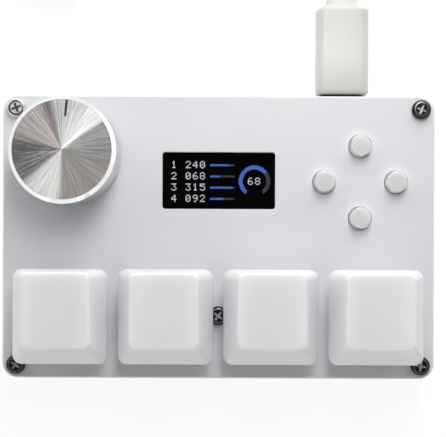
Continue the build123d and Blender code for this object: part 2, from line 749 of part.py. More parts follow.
ribbon_start = screen_x - glass_width / 2 + holder_rim
ribbon_bend = screen_x - holder_width / 2 - flex_reach
ribbon_high = glass_bottom - flex_thickness / 2
ribbon_low = board_top + flex_thickness / 2
ribbon_turn = (ribbon_high - ribbon_low) / 2
with BuildPart() as lcd_flex:
    with BuildSketch(Plane.XZ.offset(-screen_y)):
        with BuildLine():
            Polyline((ribbon_start, ribbon_high), (ribbon_bend, ribbon_high))
            CenterArc((ribbon_bend, (ribbon_high + ribbon_low) / 2), ribbon_turn, 90, 180)
            Polyline((ribbon_bend, ribbon_low), (screen_x - holder_width / 2 - flex_tail_gap, ribbon_low))
        trace(line_width=flex_thickness)
    extrude(amount=flex_width / 2, both=True)
save(lcd_flex, "lcd_flex")

# ---- USB-C socket on the board ----
with BuildPart() as usb_socket_shell:
    with BuildSketch(Plane.XZ.offset(-socket_front)):
        with Locations((usb_x, usb_z)):
            SlotOverall(socket_width, socket_height)
            SlotOverall(socket_mouth_width, socket_mouth_height, mode=Mode.SUBTRACT)
    extrude(amount=socket_length)
save(usb_socket_shell, "usb_socket_shell")

with BuildPart() as usb_socket_tongue:
    with BuildSketch(Plane.XZ.offset(-socket_back)):
        with Locations((usb_x, usb_z)):
            SlotOverall(socket_mouth_width, socket_mouth_height)
    extrude(amount=-socket_back_wall)
    with BuildSketch(Plane.XZ.offset(-socket_back)):
        with Locations((usb_x, usb_z)):
            Rectangle(tongue_width, tongue_height)
    extrude(amount=-(socket_length - tongue_setback))
save(usb_socket_tongue, "usb_socket_tongue")

# ---- Controller and small components on the underside of the board ----
with BuildPart() as controller_chip:
    with BuildSketch(Plane.XY.offset(board_bottom)):
        with Locations(chip_place):
            Rectangle(chip_width, chip_width)
    extrude(amount=-chip_height)
    chamfer(controller_chip.edges().filter_by(Axis.Z), chip_corner)
save(controller_chip, "controller_chip")

# length, width and height of each kind of component, and where it sits
component_places = {
    (1.6, 0.8, 0.7): [(-3.5, 5.5), (-3.5, 8.0), (-3.5, 10.5), (9.5, 5.5), (9.5, 8.0), (1.0, 1.8), (5.0, 1.8)],
    (3.2, 2.5, 0.8): [(3.0, 15.5), (14.0, 12.0)],
    (6.5, 3.5, 1.7): [(16.0, 1.5)],
    (2.9, 1.6, 1.1): [(22.0, 15.0), (27.0, 14.5), (-30.0, 6.0), (-20.0, 6.0), (-10.0, 1.8)],
}
with BuildPart() as board_components:
    for (length, width, height), places in component_places.items():
        with BuildSketch(Plane.XY.offset(board_bottom)):
            with Locations(*places):
                Rectangle(length, width)
        extrude(amount=-height)
save(board_components, "board_components")

# ---- USB-C plug: metal shell, moulded body with a bevelled nose, ribbed strain relief ----
with BuildPart() as usb_plug_shell:
    with BuildSketch(Plane.XZ.offset(-plug_front)):
        with Locations((usb_x, usb_z)):
            SlotOverall(plug_shell_width, plug_shell_height)
            SlotOverall(plug_mouth_width, plug_mouth_height, mode=Mode.SUBTRACT)
    extrude(amount=plug_shell_length)
save(usb_plug_shell, "usb_plug_shell")

with BuildPart() as usb_plug_body:
    with BuildSketch(Plane.XZ.offset(-plug_front)):
        with Locations((usb_x, usb_z)):
            RectangleRounded(plug_width, plug_height, plug_edge)
    extrude(amount=-(plug_length - plug_shoulder))
    chamfer(usb_plug_body.edges().group_by(Axis.Y)[0], plug_nose_chamfer)
    with BuildSketch(Plane.XZ.offset(-(plug_back - plug_shoulder))):
        with Locations((usb_x, usb_z)):
            RectangleRounded(plug_width, plug_height, plug_edge)
    with BuildSketch(Plane.XZ.offset(-plug_back)):
        with Locations((usb_x, usb_z)):
            RectangleRounded(relief_width + 2 * relief_step, relief_height, plug_edge)
    loft()
save(usb_plug_body, "usb_plug_body")

with BuildPart() as usb_strain_relief:
    with BuildSketch(Plane.XZ.offset(-plug_back)):
        with Locations((usb_x, usb_z)):
            RectangleRounded(relief_width, relief_height - relief_step, relief_corner)
    with BuildSketch(Plane.XZ.offset(-relief_back)):
        with Locations((usb_x, usb_z)):
            Circle(cord_radius + relief_end_wall)
    loft()
    for groove in range(relief_grooves):
        groove_y = plug_back + (groove + 1) * relief_groove_pitch
        with BuildSketch(Plane.XZ.offset(-groove_y)):
            with Locations((usb_x, usb_z)):
                Rectangle(2 * relief_width, 2 * relief_height)
                Circle(cord_radius + relief_core, mode=Mode.SUBTRACT)
        extrude(amount=-relief_groove, mode=Mode.SUBTRACT)
save(usb_strain_relief, "usb_strain_relief")


# ---- Lead ----
def corner_radii(points):
    """Largest even arc at each corner: 0.45 of the shorter run over the tangent of half the turn."""
    radii = []
    for before, corner, after in zip(points, points[1:], points[2:]):
        run_in = Vector(corner) - Vector(before)
        run_out = Vector(after) - Vector(corner)
        half_turn = radians(run_in.get_angle(run_out)) / 2
        radii.append(0.45 * min(run_in.length, run_out.length) / tan(half_turn))
    return radii


def make_tube(name, points):
    """Round tube along straight runs joined by tangent arcs."""
    radii = corner_radii(points)
    with BuildPart() as tube:
        with BuildLine() as route:
            FilletPolyline(*points, radius=radii)
        path = route.wire()
        with BuildSketch(Plane(path @ 0, z_dir=path % 0)):
            Circle(cord_radius)
        sweep(path=path)
    save(tube, name)
    expected = pi * cord_radius**2 * path.length
    print(f"{name}: length {path.length:.1f}, radii {[round(r, 1) for r in radii]}")
    print(f"{name}: volume {tube.part.volume:.1f}, section times length {expected:.1f}")


make_tube("cord_lead", lead_points)
make_tube("cord_tail", tail_points)

with BuildPart() as cord_coil:
    with BuildSketch(Plane((coil_x, coil_y, coil_bottom))):
        Circle(coil_mean_radius + bundle_width / 2)
        Circle(coil_mean_radius - bundle_width / 2, mode=Mode.SUBTRACT)
    extrude(amount=bundle_height)
    fillet(cord_coil.edges(), coil_round)
save(cord_coil, "cord_coil")

# Strap of the coil: a flat band around its bundle of turns
strap_out = (cos(radians(tie_turn)), sin(radians(tie_turn)), 0)
strap_along = (sin(radians(tie_turn)), -cos(radians(tie_turn)), 0)
with BuildPart() as cord_tie:
    with BuildSketch(Plane((coil_x, coil_y, 0), x_dir=strap_out, z_dir=strap_along)):
        with Locations((coil_mean_radius, coil_bottom + bundle_height / 2)):
            Rectangle(bundle_width + 2 * tie_thickness, bundle_height + 2 * tie_thickness)
            Rectangle(bundle_width, bundle_height, mode=Mode.SUBTRACT)
    revolve(axis=Axis((coil_x, coil_y, 0), (0, 0, 1)), revolution_arc=tie_arc)
save(cord_tie, "cord_tie")

# USB-A plug on the far end, lying flat where the tail ends
far_direction = (cos(radians(far_plug_heading)), sin(radians(far_plug_heading)), 0)
far_side = (-sin(radians(far_plug_heading)), cos(radians(far_plug_heading)), 0)
far_start = Plane(tail_points[-1], x_dir=far_side, z_dir=far_direction)
with BuildPart() as cord_end_plug_body:
    with BuildSketch(far_start):
        Circle(cord_radius + far_relief_wall)
    with BuildSketch(far_start.offset(far_relief_length)):
        Circle(cord_radius + far_relief_root)
    loft()
    with BuildSketch(far_start.offset(far_relief_length)):
        RectangleRounded(far_plug_width, far_plug_height, far_plug_corner)
    extrude(amount=far_plug_length)
    far_front = cord_end_plug_body.faces().sort_by(Axis(far_start.origin, far_direction))[-1]
    chamfer(far_front.edges(), far_plug_chamfer)
save(cord_end_plug_body, "cord_end_plug_body")

far_root = far_start.offset(far_relief_length + far_plug_length)
far_mouth = far_root.offset(far_shell_length - far_window_setback)
with BuildPart() as cord_end_plug_shell:
    with BuildSketch(far_root):
        Rectangle(far_shell_width, far_shell_height)
        Rectangle(far_mouth_width, far_mouth_height, mode=Mode.SUBTRACT)
    extrude(amount=far_shell_length)
    with BuildSketch(Plane(far_mouth.origin, x_dir=far_side, z_dir=(0, 0, 1))):
        with Locations((-far_window_x, 0), (far_window_x, 0)):
            Rectangle(far_window_width, far_window_length)
    extrude(amount=far_shell_height, both=True, mode=Mode.SUBTRACT)
save(cord_end_plug_shell, "cord_end_plug_shell")

with BuildPart() as cord_end_plug_insert:
    with BuildSketch(far_root):
        with Locations((0, far_mouth_height / 4)):
            Rectangle(far_mouth_width, far_mouth_height / 2)
    extrude(amount=far_shell_length - far_insert_setback)
save(cord_end_plug_insert, "cord_end_plug_insert")
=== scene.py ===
"""Macro keypad: the finish of every piece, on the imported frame. Metres; X right, +Y to the back edge, +Z up."""
import math

import bmesh
import bpy
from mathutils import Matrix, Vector


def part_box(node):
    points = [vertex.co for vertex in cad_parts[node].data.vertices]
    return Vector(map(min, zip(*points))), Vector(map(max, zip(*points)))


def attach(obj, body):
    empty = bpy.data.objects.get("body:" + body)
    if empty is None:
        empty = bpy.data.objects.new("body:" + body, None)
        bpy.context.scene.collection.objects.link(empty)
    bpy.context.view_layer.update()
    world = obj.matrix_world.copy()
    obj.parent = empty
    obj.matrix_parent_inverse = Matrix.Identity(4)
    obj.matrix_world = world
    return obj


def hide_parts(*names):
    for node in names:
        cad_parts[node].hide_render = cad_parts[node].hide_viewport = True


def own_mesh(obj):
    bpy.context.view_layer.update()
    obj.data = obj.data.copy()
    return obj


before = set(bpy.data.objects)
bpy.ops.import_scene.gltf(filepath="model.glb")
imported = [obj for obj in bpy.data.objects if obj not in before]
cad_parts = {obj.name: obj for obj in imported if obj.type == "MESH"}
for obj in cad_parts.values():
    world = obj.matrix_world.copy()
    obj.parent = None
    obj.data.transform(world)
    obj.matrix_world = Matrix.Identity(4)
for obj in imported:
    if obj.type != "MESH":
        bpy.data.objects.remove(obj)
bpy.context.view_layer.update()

# ---- Table, lamp and camera ----
# The keypad stands on a plain white table in a dim studio. One tall soft box stands behind it, a little to
# the right; the walls are pale low down and darker above. The camera looks straight down.
def link(name, data):
    """A new object in the scene for some data."""
    thing = bpy.data.objects.new(name, data)
    bpy.context.collection.objects.link(thing)
    return thing


def feed(node, **settings):
    """Set a node's properties and inputs by name, or inputs by number, as in _0. A wire is linked."""
    for key, value in settings.items():
        if hasattr(node, key):
            setattr(node, key, value)
            continue
        socket = node.inputs[int(key[1:]) if key[0] == "_" else key.replace("_", " ")]
        if isinstance(value, Wire):
            value.tree.links.new(value.socket, socket)
        else:
            socket.default_value = value


def add(tree, kind, **settings):
    """A new node in a tree, by its type without the prefix; returns its first output as a wire."""
    families = (tree.bl_idname.removesuffix("Tree"), "ShaderNode", "FunctionNode", "Node")
    node = tree.nodes.new(next(family + kind for family in families if hasattr(bpy.types, family + kind)))
    feed(node, **settings)
    return Wire(node.outputs[0]) if node.outputs else None


class Wire:
    """An output of a node. Sums with numbers and other wires add maths nodes to its tree, and
    wire["Normal"] is another output of the same node."""
    def __init__(self, socket):
        self.socket, self.tree = socket, socket.id_data

    def __getitem__(self, output):
        return Wire(self.socket.node.outputs[output])

    def into(self, kind, *inputs, **settings):
        """A new node with this wire in its first input and others in the next ones."""
        places = {f"_{place}": value for place, value in enumerate((self, *inputs))}
        return add(self.tree, kind, **settings, **places)

    def math(self, operation, *others):
        return self.into("Math", *others, operation=operation)

    def vector(self, operation, *others, **settings):
        return self.into("VectorMath", *others, operation=operation, **settings)

    def ramp(self, low, high, **settings):
        """Goes from 0 to 1 while this wire goes from low to high."""
        return self.into("MapRange", From_Min=low, From_Max=high, **settings)

    def between(self, low, high):
        """A number that goes from low to high while this wire goes from 0 to 1."""
        return self.into("Mix", _2=low, _3=high)

    def tint(self, dark, light):
        """A colour that goes from dark to light while this wire goes from 0 to 1."""
        return self.into("Mix", data_type="RGBA", _6=dark, _7=light)[2]

    def relief(self, depth, **settings):
        """A surface direction, as if this wire raised the surface by up to a depth."""
        return add(self.tree, "Bump", Height=self, Distance=depth, **settings)


# the signs + - * / > < between a wire and a number or another wire
for sign, operation in (("add", "ADD"), ("sub", "SUBTRACT"), ("mul", "MULTIPLY"), ("truediv", "DIVIDE"),
                        ("gt", "GREATER_THAN"), ("lt", "LESS_THAN")):
    setattr(Wire, f"__{sign}__", lambda wire, other, operation=operation: wire.math(operation, other))


def grey(level):
    """A neutral linear colour."""
    return (level, level, level, 1.0)


bpy.context.scene.view_settings.view_transform = "Standard"

table_half = 3.0
table_white = 0.95          # the table as the keypad sees it
table_glow = 0.85           # what the table shows by itself where it is looked at
table_reply = 0.24          # and the share of the light on it that it gives back there

table_mesh = bpy.data.meshes.new("table_top")
corners = [(x * table_half, y * table_half, 0.0) for x, y in ((-1, -1), (1, -1), (1, 1), (-1, 1))]
table_mesh.from_pydata(corners, [], [(0, 1, 2, 3)])
table_top = link("table_top", table_mesh)

table_paint = bpy.data.materials.new("table_white")
table_paint.use_nodes = True
tree = table_paint.node_tree
tree.nodes.clear()
unseen = add(tree, "BsdfDiffuse", Color=grey(table_white))
looked_at = add(tree, "BsdfDiffuse", Color=grey(table_reply))
both = looked_at.into("AddShader", add(tree, "Emission", Strength=table_glow))
rays = add(tree, "LightPath")
seen = rays["Is Camera Ray"].math("MAXIMUM", rays["Is Glossy Ray"])
seen = seen.math("MAXIMUM", rays["Is Transmission Ray"])
seen.into("MixShader", unseen, both).into("OutputMaterial")
table_mesh.materials.append(table_paint)

# colour of the studio walls by bearing, in degrees from the right hand side; it fills a band above the pale
# horizon, under an even ceiling
wall_tones = [
    (0, (0.50, 0.52, 0.51)), (44, (0.54, 0.56, 0.55)), (46, (2.90, 2.90, 2.90)), (60, (2.90, 2.90, 2.90)),
    (68, (2.30, 2.30, 2.30)), (107, (2.30, 2.30, 2.30)), (109, (0.66, 0.52, 0.56)), (118, (0.72, 0.57, 0.62)),
    (122, (2.25, 2.00, 2.00)), (155, (2.10, 1.85, 1.85)), (168, (0.05, 0.04, 0.04)), (208, (0.02, 0.02, 0.02)),
    (213, (2.05, 2.05, 2.05)), (257, (2.05, 2.05, 2.05)), (260, (0.66, 0.60, 0.57)), (300, (0.66, 0.59, 0.56)),
    (343, (0.58, 0.54, 0.52)), (360, (0.52, 0.54, 0.53))]
horizon_tone, ceiling_tone = 1.35, 0.18
horizon_band, ceiling_band = (0.09, 0.14), (0.52, 0.58)     # heights on the unit sphere where the tones change
studio_strength = 3.0

studio = bpy.data.worlds.new("studio")
studio.use_nodes = True
bpy.context.scene.world = studio
tree = studio.node_tree
direction = add(tree, "TexCoord")["Generated"].into("SeparateXYZ")
bearing = (direction["Y"].math("ARCTAN2", direction["X"]) / math.tau).math("FRACT")
walls = bearing.into("ValToRGB")
stops = walls.socket.node.color_ramp.elements
for number, (degrees, tone) in enumerate(wall_tones):
    stop = stops[number] if number < 2 else stops.new(degrees / 360)
    stop.position = degrees / 360
    stop.color = (*[channel / studio_strength for channel in tone], 1.0)
above_horizon = direction["Z"].ramp(*horizon_band, interpolation_type="SMOOTHSTEP")
at_ceiling = direction["Z"].ramp(*ceiling_band, interpolation_type="SMOOTHSTEP")
room = above_horizon.tint(grey(horizon_tone / studio_strength), walls)
room = at_ceiling.tint(room, grey(ceiling_tone / studio_strength))
feed(tree.nodes["Background"], Color=room, Strength=studio_strength)

lamp_bearing, lamp_rise, lamp_distance = math.radians(78), math.radians(52), 0.244
lamp = bpy.data.lights.new("key_lamp", "AREA")
lamp.shape, lamp.size, lamp.size_y, lamp.energy = "RECTANGLE", 0.08, 0.20, 0.314
toward = Vector((math.cos(lamp_bearing) * math.cos(lamp_rise), math.sin(lamp_bearing) * math.cos(lamp_rise),
                 math.sin(lamp_rise)))
soft_box = link("key_lamp", lamp)
soft_box.location = toward * lamp_distance
soft_box.rotation_euler = toward.to_track_quat("Z", "Y").to_euler()
soft_box.visible_camera = False

picture_width, picture_height = 446, 437
sensor_width = 36.0
focal_pixels = 1222.5
axis_column, axis_row = 221.0, 257.6        # where the optical axis meets the picture
lens = bpy.data.cameras.new("camera")
lens.sensor_fit = "HORIZONTAL"
lens.sensor_width = sensor_width
lens.lens = focal_pixels / picture_width * sensor_width
lens.shift_x = (picture_width / 2 - axis_column) / picture_width
lens.shift_y = (axis_row - picture_height / 2) / picture_width
lens.clip_start, lens.clip_end = 0.01, 20.0
camera = link("camera", lens)
camera.location = (0.0005, -0.004, 0.2506)
camera.rotation_euler = (0.0, 0.0, math.radians(0.24))
bpy.context.scene.camera = camera


# ---- Bottom case ----
# Moulded white plastic: floor, walls, screw bosses and board posts in one piece, with a fine even skin
# and a small bevel round its foot. The top plate closes it.
def linear(red, green, blue):
    """A display colour, 0 to 255, as the renderer's own linear colour."""
    def channel(shade):
        shade = shade / 255
        return shade / 12.92 if shade <= 0.04045 else ((shade + 0.055) / 1.055) ** 2.4
    return (channel(red), channel(green), channel(blue), 1.0)


def new_group(name, kind, outputs, **inputs):
    """A node group with named sockets, listed by their kind; returns it and a wire of its inputs."""
    group = bpy.data.node_groups.new(name, kind)
    for way, sockets in (("INPUT", inputs), ("OUTPUT", outputs)):
        for socket_kind, labels in sockets.items():
            for label in labels.split(", "):
                group.interface.new_socket(label, in_out=way, socket_type="NodeSocket" + socket_kind)
    return group, add(group, "GroupInput")


surface = {"Color": "Color", "Float": "Roughness", "Vector": "Normal"}

# Skin of a moulded or coated piece: fine grain, slow changes of tone and gloss, rounded edges, and an edge tone
# that is wear on some pieces and painted light on others
skin, given = new_group(
    "moulded_skin", "ShaderNodeTree", surface, Vector="Vector", Color="Dark Tone, Light Tone, Edge Tone",
    Float="Grain Scale, Grain Height, Tone Scale, Low Gloss, High Gloss, Edge Radius")
grain = given["Vector"].into("TexNoise", Scale=given["Grain Scale"], Detail=3.0)
mottle = given["Vector"].into("TexNoise", Scale=given["Tone Scale"], Detail=4.0)
rounded = add(skin, "Bevel", samples=6, Radius=given["Edge Radius"])
edge = rounded.vector("DOT_PRODUCT", add(skin, "NewGeometry")["Normal"])["Value"].ramp(1.0, 0.8)
add(skin, "GroupOutput", Roughness=mottle.between(given["Low Gloss"], given["High Gloss"]),
    Color=edge.tint(mottle.tint(given["Dark Tone"], given["Light Tone"]), given["Edge Tone"]),
    Normal=grain.relief(given["Grain Height"], Normal=rounded))


def new_material(name, **values):
    """A material with its own shader; returns the material, its object coordinates and the shader."""
    material = bpy.data.materials.new(name)
    material.use_nodes = True
    shader = material.node_tree.nodes["Principled BSDF"]
    feed(shader, **values)
    return material, add(material.node_tree, "TexCoord")["Object"], shader


def coated(name, group, coat, **values):
    """A material whose shader takes its colour, gloss and surface from a group."""
    material, spot, shader = new_material(name, **values)
    cover = spot.into("Group", node_tree=group, **coat)
    feed(shader, Base_Color=cover["Color"], Roughness=cover["Roughness"], Normal=cover["Normal"])
    return material


def skinned(name, dark, light, edge_wear_and_light=None, gloss=(0.5, 0.42), grain=(5000.0, 0.00001), tone_scale=60.0,
            edge=0.0002, **values):
    """A material with the moulded skin: display tones, range of roughness, grain size and edge radius. Its edge
    tone is wear on some pieces, and a painted highlight or painted dark outline on others.
    """
    coat = dict(Grain_Scale=grain[0], Grain_Height=grain[1], Tone_Scale=tone_scale, Dark_Tone=linear(*dark),
                Light_Tone=linear(*light), Edge_Tone=linear(*(edge_wear_and_light or light)), Low_Gloss=gloss[0],
                High_Gloss=gloss[1], Edge_Radius=edge)
    return coated(name, skin, coat, **values)


def dress(material, *names):
    """Give carried-over pieces of the frame their finish."""
    for name in names:
        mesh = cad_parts[name].data
        mesh.materials.clear()
        mesh.materials.append(material)


dress(skinned("case_white", (222, 223, 224), (230, 231, 232), gloss=(0.55, 0.45), edge=0.0003), "bottom_case")

# ---- Threaded inserts ----
# Five turned brass sleeves pressed into the screw bosses of the case. Their skin shows the marks of turning,
# which run round the axis, and a few soft stains.
metal, given = new_group(
    "worked_metal", "ShaderNodeTree", surface, Vector="Vector", Color="Dark Tone, Light Tone",
    Float="Mark Scale, Mark Height, Low Gloss, High Gloss")
stretched = given["Vector"].vector("MULTIPLY", (0.15, 0.15, 1.0))
marks = stretched.into("TexNoise", Scale=given["Mark Scale"], Detail=3.0)
stain = given["Vector"].into("TexNoise", Scale=180.0, Detail=5.0)
add(metal, "GroupOutput", Color=(marks * 0.5 + stain * 0.5).tint(given["Dark Tone"], given["Light Tone"]),
    Roughness=stain.between(given["Low Gloss"], given["High Gloss"]), Normal=marks.relief(given["Mark Height"]))


def worked(name, dark, light, gloss=(0.34, 0.24), mark_scale=9000.0, mark_height=0.000004):
    """A metal finish: two display tones, a range of roughness, and the size and height of its marks."""
    coat = dict(Mark_Scale=mark_scale, Mark_Height=mark_height, Dark_Tone=linear(*dark),
                Light_Tone=linear(*light), Low_Gloss=gloss[0], High_Gloss=gloss[1])
    return coated(name, metal, coat, Metallic=1.0)


dress(worked("brass", (178, 142, 76), (208, 172, 104)), "threaded_inserts")

# ---- Main board ----
# A white circuit board on the posts of the case. Copper tracks show as low raised lines in its lacquer,
# and its chip and small parts hang from the underside.
track_pitch, track_width, track_length, track_height = 0.0016, 0.000224, 0.0112, 0.00003
lacquer = skinned("board_white", (196, 200, 196), (206, 209, 205), edge_wear_and_light=(176, 158, 112), gloss=(0.4, 0.3),
                  grain=(3000.0, 0.000004), tone_scale=90.0, edge=0.0001, Coat_Weight=0.3)


def coat_parts(material):
    """The coordinates, cover and shader of a coated material, for a finish that adds to them."""
    nodes = material.node_tree.nodes
    return (Wire(nodes["Texture Coordinate"].outputs["Object"]), Wire(nodes["Group"].outputs[0]),
            nodes["Principled BSDF"])


spot, cover, shader = coat_parts(lacquer)
tracks = spot.into("TexBrick", Scale=1.0, offset=0.37, Mortar_Size=track_width, Brick_Width=track_length,
                   Row_Height=track_pitch)["Fac"]
feed(shader, Base_Color=tracks.tint(cover["Color"], linear(222, 224, 220)),
     Normal=tracks.relief(track_height, Normal=cover["Normal"]))
dress(lacquer, "main_pcb")
part_black = skinned("part_black", (22, 22, 24), (32, 32, 34), gloss=(0.55, 0.42), grain=(7000.0, 0.000006))
dress(part_black, "controller_chip", "board_components")

# ---- USB-C socket ----
# A pressed steel shell soldered to the back edge of the board, with a black tongue inside it that carries
# the contacts.
steel = worked("steel", (168, 169, 172), (200, 201, 204), gloss=(0.3, 0.2))
dress(steel, "usb_socket_shell")
dress(part_black, "usb_socket_tongue")

# ---- Key switches ----
# Four switches with milky housings, clipped into the plate and soldered to the board. A white stem with
# a cross on top slides in each, on a steel spring; two plated contacts stand beside it.
milky = skinned("switch_milky", (202, 206, 209), (214, 217, 220), gloss=(0.34, 0.24), grain=(2500.0, 0.000004),
                tone_scale=140.0, edge=0.00015, Subsurface_Weight=0.25, Subsurface_Scale=0.001)
stem_white = skinned("stem_white", (218, 218, 215), (226, 226, 223), gloss=(0.38, 0.28), edge=0.00012)
contact_gold = worked("contact_gold", (190, 158, 96), (216, 184, 122), gloss=(0.26, 0.18))
spring_steel = worked("spring_steel", (150, 151, 153), (196, 197, 199), gloss=(0.3, 0.22), mark_scale=16000.0)
dress(contact_gold, "switch_contacts")


def geometry_tree(name, **inputs):
    """A geometry tree that takes geometry and other named inputs; returns it and a wire of its inputs."""
    return new_group(name, "GeometryNodeTree", {"Geometry": "Geometry"}, Geometry="Geometry", **inputs)


def set_out(points, piece, **settings):
    """A real copy of a piece on every point."""
    return points.into("InstanceOnPoints", Instance=piece, **settings).into("RealizeInstances")


def round_about(radius, turn, height):
    """A place at a radius, an angle and a height."""
    return add(turn.tree, "CombineXYZ", X=turn.math("COSINE") * radius, Y=turn.math("SINE") * radius, Z=height)


def point_object(name, points):
    """An object of loose points."""
    mesh = bpy.data.meshes.new(name)
    mesh.from_pydata(points, [], [])
    return link(name, mesh)


def tidy_mesh(mesh, sharp_angle):
    """Faces outward, smooth except across edges sharper than an angle."""
    shape = bmesh.new()
    shape.from_mesh(mesh)
    bmesh.ops.recalc_face_normals(shape, faces=shape.faces)
    shape.to_mesh(mesh)
    shape.free()
    mesh.polygons.foreach_set("use_smooth", [True] * len(mesh.polygons))
    mesh.set_sharp_from_angle(angle=math.radians(sharp_angle))
    mesh.update()


def grown(name, points, group, sharp_angle=30, **values):
    """Run a geometry tree on loose points with its inputs set by name; the result is a plain piece."""
    carrier = point_object(name + "_points", points)
    modifier = carrier.modifiers.new("grow", "NODES")
    modifier.node_group = group
    for item in group.interface.items_tree:
        key = item.name.replace(" ", "_")
        if item.in_out == "INPUT" and key in values:
            modifier[item.identifier] = values.pop(key)
    assert not values, values
    graph = bpy.context.evaluated_depsgraph_get()
    mesh = bpy.data.meshes.new_from_object(carrier.evaluated_get(graph), preserve_all_data_layers=True,
                                           depsgraph=graph)
    bpy.data.objects.remove(carrier)
    mesh.name = name
    tidy_mesh(mesh, sharp_angle)
    return link(name, mesh)


# A coil spring on every point, standing on it, with closed turns at both ends
spring_tree, given = geometry_tree(
    "coil_springs", Float="Turns, End Turns, End Pitch, Turn Steps, Coil Radius, Wire Radius, Length",
    Material="Finish")
rise = given["Length"] - given["Wire Radius"] * 2.0
open_turns = given["Turns"] - given["End Turns"] * 2.0
open_pitch = (rise - given["End Turns"] * 2.0 * given["End Pitch"]) / open_turns
turned_by = add(spring_tree, "InputIndex") / given["Turn Steps"]
in_open = (turned_by - given["End Turns"]).math("MAXIMUM", 0.0).math("MINIMUM", open_turns)
height = in_open.math("MULTIPLY_ADD", open_pitch, given["Wire Radius"])
height = (turned_by - in_open).math("MULTIPLY_ADD", given["End Pitch"], height)
line = add(spring_tree, "MeshLine", Count=given["Turns"].math("MULTIPLY_ADD", given["Turn Steps"], 1.0))
bent = line.into("SetPosition", Position=round_about(given["Coil Radius"], turned_by * math.tau, height))
wire_round = add(spring_tree, "CurvePrimitiveCircle", Resolution=10, Radius=given["Wire Radius"])
wire = bent.into("MeshToCurve").into("CurveToMesh", Profile_Curve=wire_round, Fill_Caps=True)
set_out(given["Geometry"], wire).into("SetMaterial", Material=given["Finish"]).into("GroupOutput")

wire_radius, key_travel = 0.0002, 0.004
for number in range(1, 5):
    dress(milky, f"switch_base_{number}", f"switch_top_{number}")
    dress(stem_white, f"switch_stem_{number}")
    spring_low, spring_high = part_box(f"switch_spring_{number}")
    spring_x, spring_y = (spring_low[0] + spring_high[0]) / 2, (spring_low[1] + spring_high[1]) / 2
    spring_length = spring_high[2] - spring_low[2]
    spring = grown(f"spring_{number}", [(spring_x, spring_y, spring_low[2])], spring_tree, sharp_angle=60,
                   Turns=8.0, End_Turns=1.0, End_Pitch=wire_radius * 2.1, Turn_Steps=28.0,
                   Coil_Radius=(spring_high[0] - spring_low[0]) / 2 - wire_radius, Wire_Radius=wire_radius,
                   Length=spring_length, Finish=spring_steel)
    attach(spring, f"key_{number}")
    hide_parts(f"switch_spring_{number}")
    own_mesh(spring)

# ---- Tact switches ----
# Four small push switches on the board below the round buttons. Each has a black moulded body, a folded
# steel cover and a black plunger.
button_sides = ("up", "left", "right", "down")
dress(part_black, "tact_switch_bodies", *[f"tact_plunger_{side}" for side in button_sides])
dress(steel, "tact_switch_covers")

# ---- Rotary encoder ----
# A plated metal body on the board with a turned bushing. Its shaft turns in the bushing, and presses a
# black pad below.
encoder_plating = worked("encoder_plating", (160, 161, 163), (190, 191, 193), gloss=(0.36, 0.26))
dress(encoder_plating, "encoder_body", "encoder_bushing", "encoder_shaft")
dress(part_black, "encoder_push_pad")

# ---- Screen ----
# A lit panel under black glass in a black holder on the board, with an amber film ribbon. The readout is
# a grid of tiny square dots: a ring gauge, four rows of numbers and a bar beside each.
glass_black = skinned("glass_black", (2, 2, 3), (3, 3, 5), gloss=(0.1, 0.06), grain=(2500.0, 0.000001),
                      edge=0.00003, Specular_IOR_Level=0.08)
dress(glass_black, "lcd_glass")
dress(skinned("holder_black", (24, 24, 25), (34, 34, 35), gloss=(0.6, 0.5)), "lcd_frame")
film_amber = skinned("film_amber", (150, 84, 20), (176, 106, 30), gloss=(0.3, 0.2), grain=(1200.0, 0.000006))
dress(film_amber, "lcd_flex")

# One flat block on every point
block_tree, given = geometry_tree("flat_blocks", Vector="Block Size", Float="Turn", Material="Finish")
blocks = set_out(given["Geometry"], add(block_tree, "MeshCube", Size=given["Block Size"]),
                 Rotation=add(block_tree, "CombineXYZ", Z=given["Turn"]))
blocks.into("SetMaterial", Material=given["Finish"]).into("GroupOutput")

dot_pitch, dot_size, dot_thickness = 0.0002, 0.00018, 0.00002
glass_low, glass_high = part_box("lcd_glass")
screen_middle = (glass_low[0] + glass_high[0]) / 2, (glass_low[1] + glass_high[1]) / 2
digit_shapes = {    # seven rows of five dots each, as binary numbers
    "0": (14, 17, 19, 21, 25, 17, 14), "1": (4, 12, 4, 4, 4, 4, 14), "2": (14, 17, 1, 2, 4, 8, 31),
    "3": (31, 2, 4, 2, 1, 17, 14), "4": (2, 6, 10, 18, 31, 2, 2), "5": (31, 16, 30, 1, 1, 17, 14),
    "6": (6, 8, 16, 30, 17, 17, 14), "8": (14, 17, 17, 14, 17, 17, 14), "9": (14, 17, 17, 15, 1, 2, 12)}
digit_columns, digit_step = 5, 7
# places and sizes of the readout are in dots, from the middle of the screen
row_texts = (("1 240", 30), ("2 068", 17), ("3 315", 38), ("4 092", 23))    # and how full each bar is
rows_left, rows_top, row_step = -46, 19, 11
bar_left, bar_length, bar_lines, bar_full = -8, 24, (3, 4), 40
gauge_middle, gauge_inner, gauge_outer, gauge_share = (35, 0), 11.5, 15.5, 0.68
gauge_start, gauge_end = 0.1, 0.9           # in turns, clockwise from straight down
gauge_text, gauge_text_left, gauge_text_top = "68", 29, 3


def write(text, left, top):
    """Dots of a line of text, from the place of its upper left dot."""
    return [(left + place * digit_step + column, top - line)
            for place, digit in enumerate(text) for line, bits in enumerate(digit_shapes.get(digit, ()))
            for column in range(digit_columns) if bits >> (digit_columns - 1 - column) & 1]


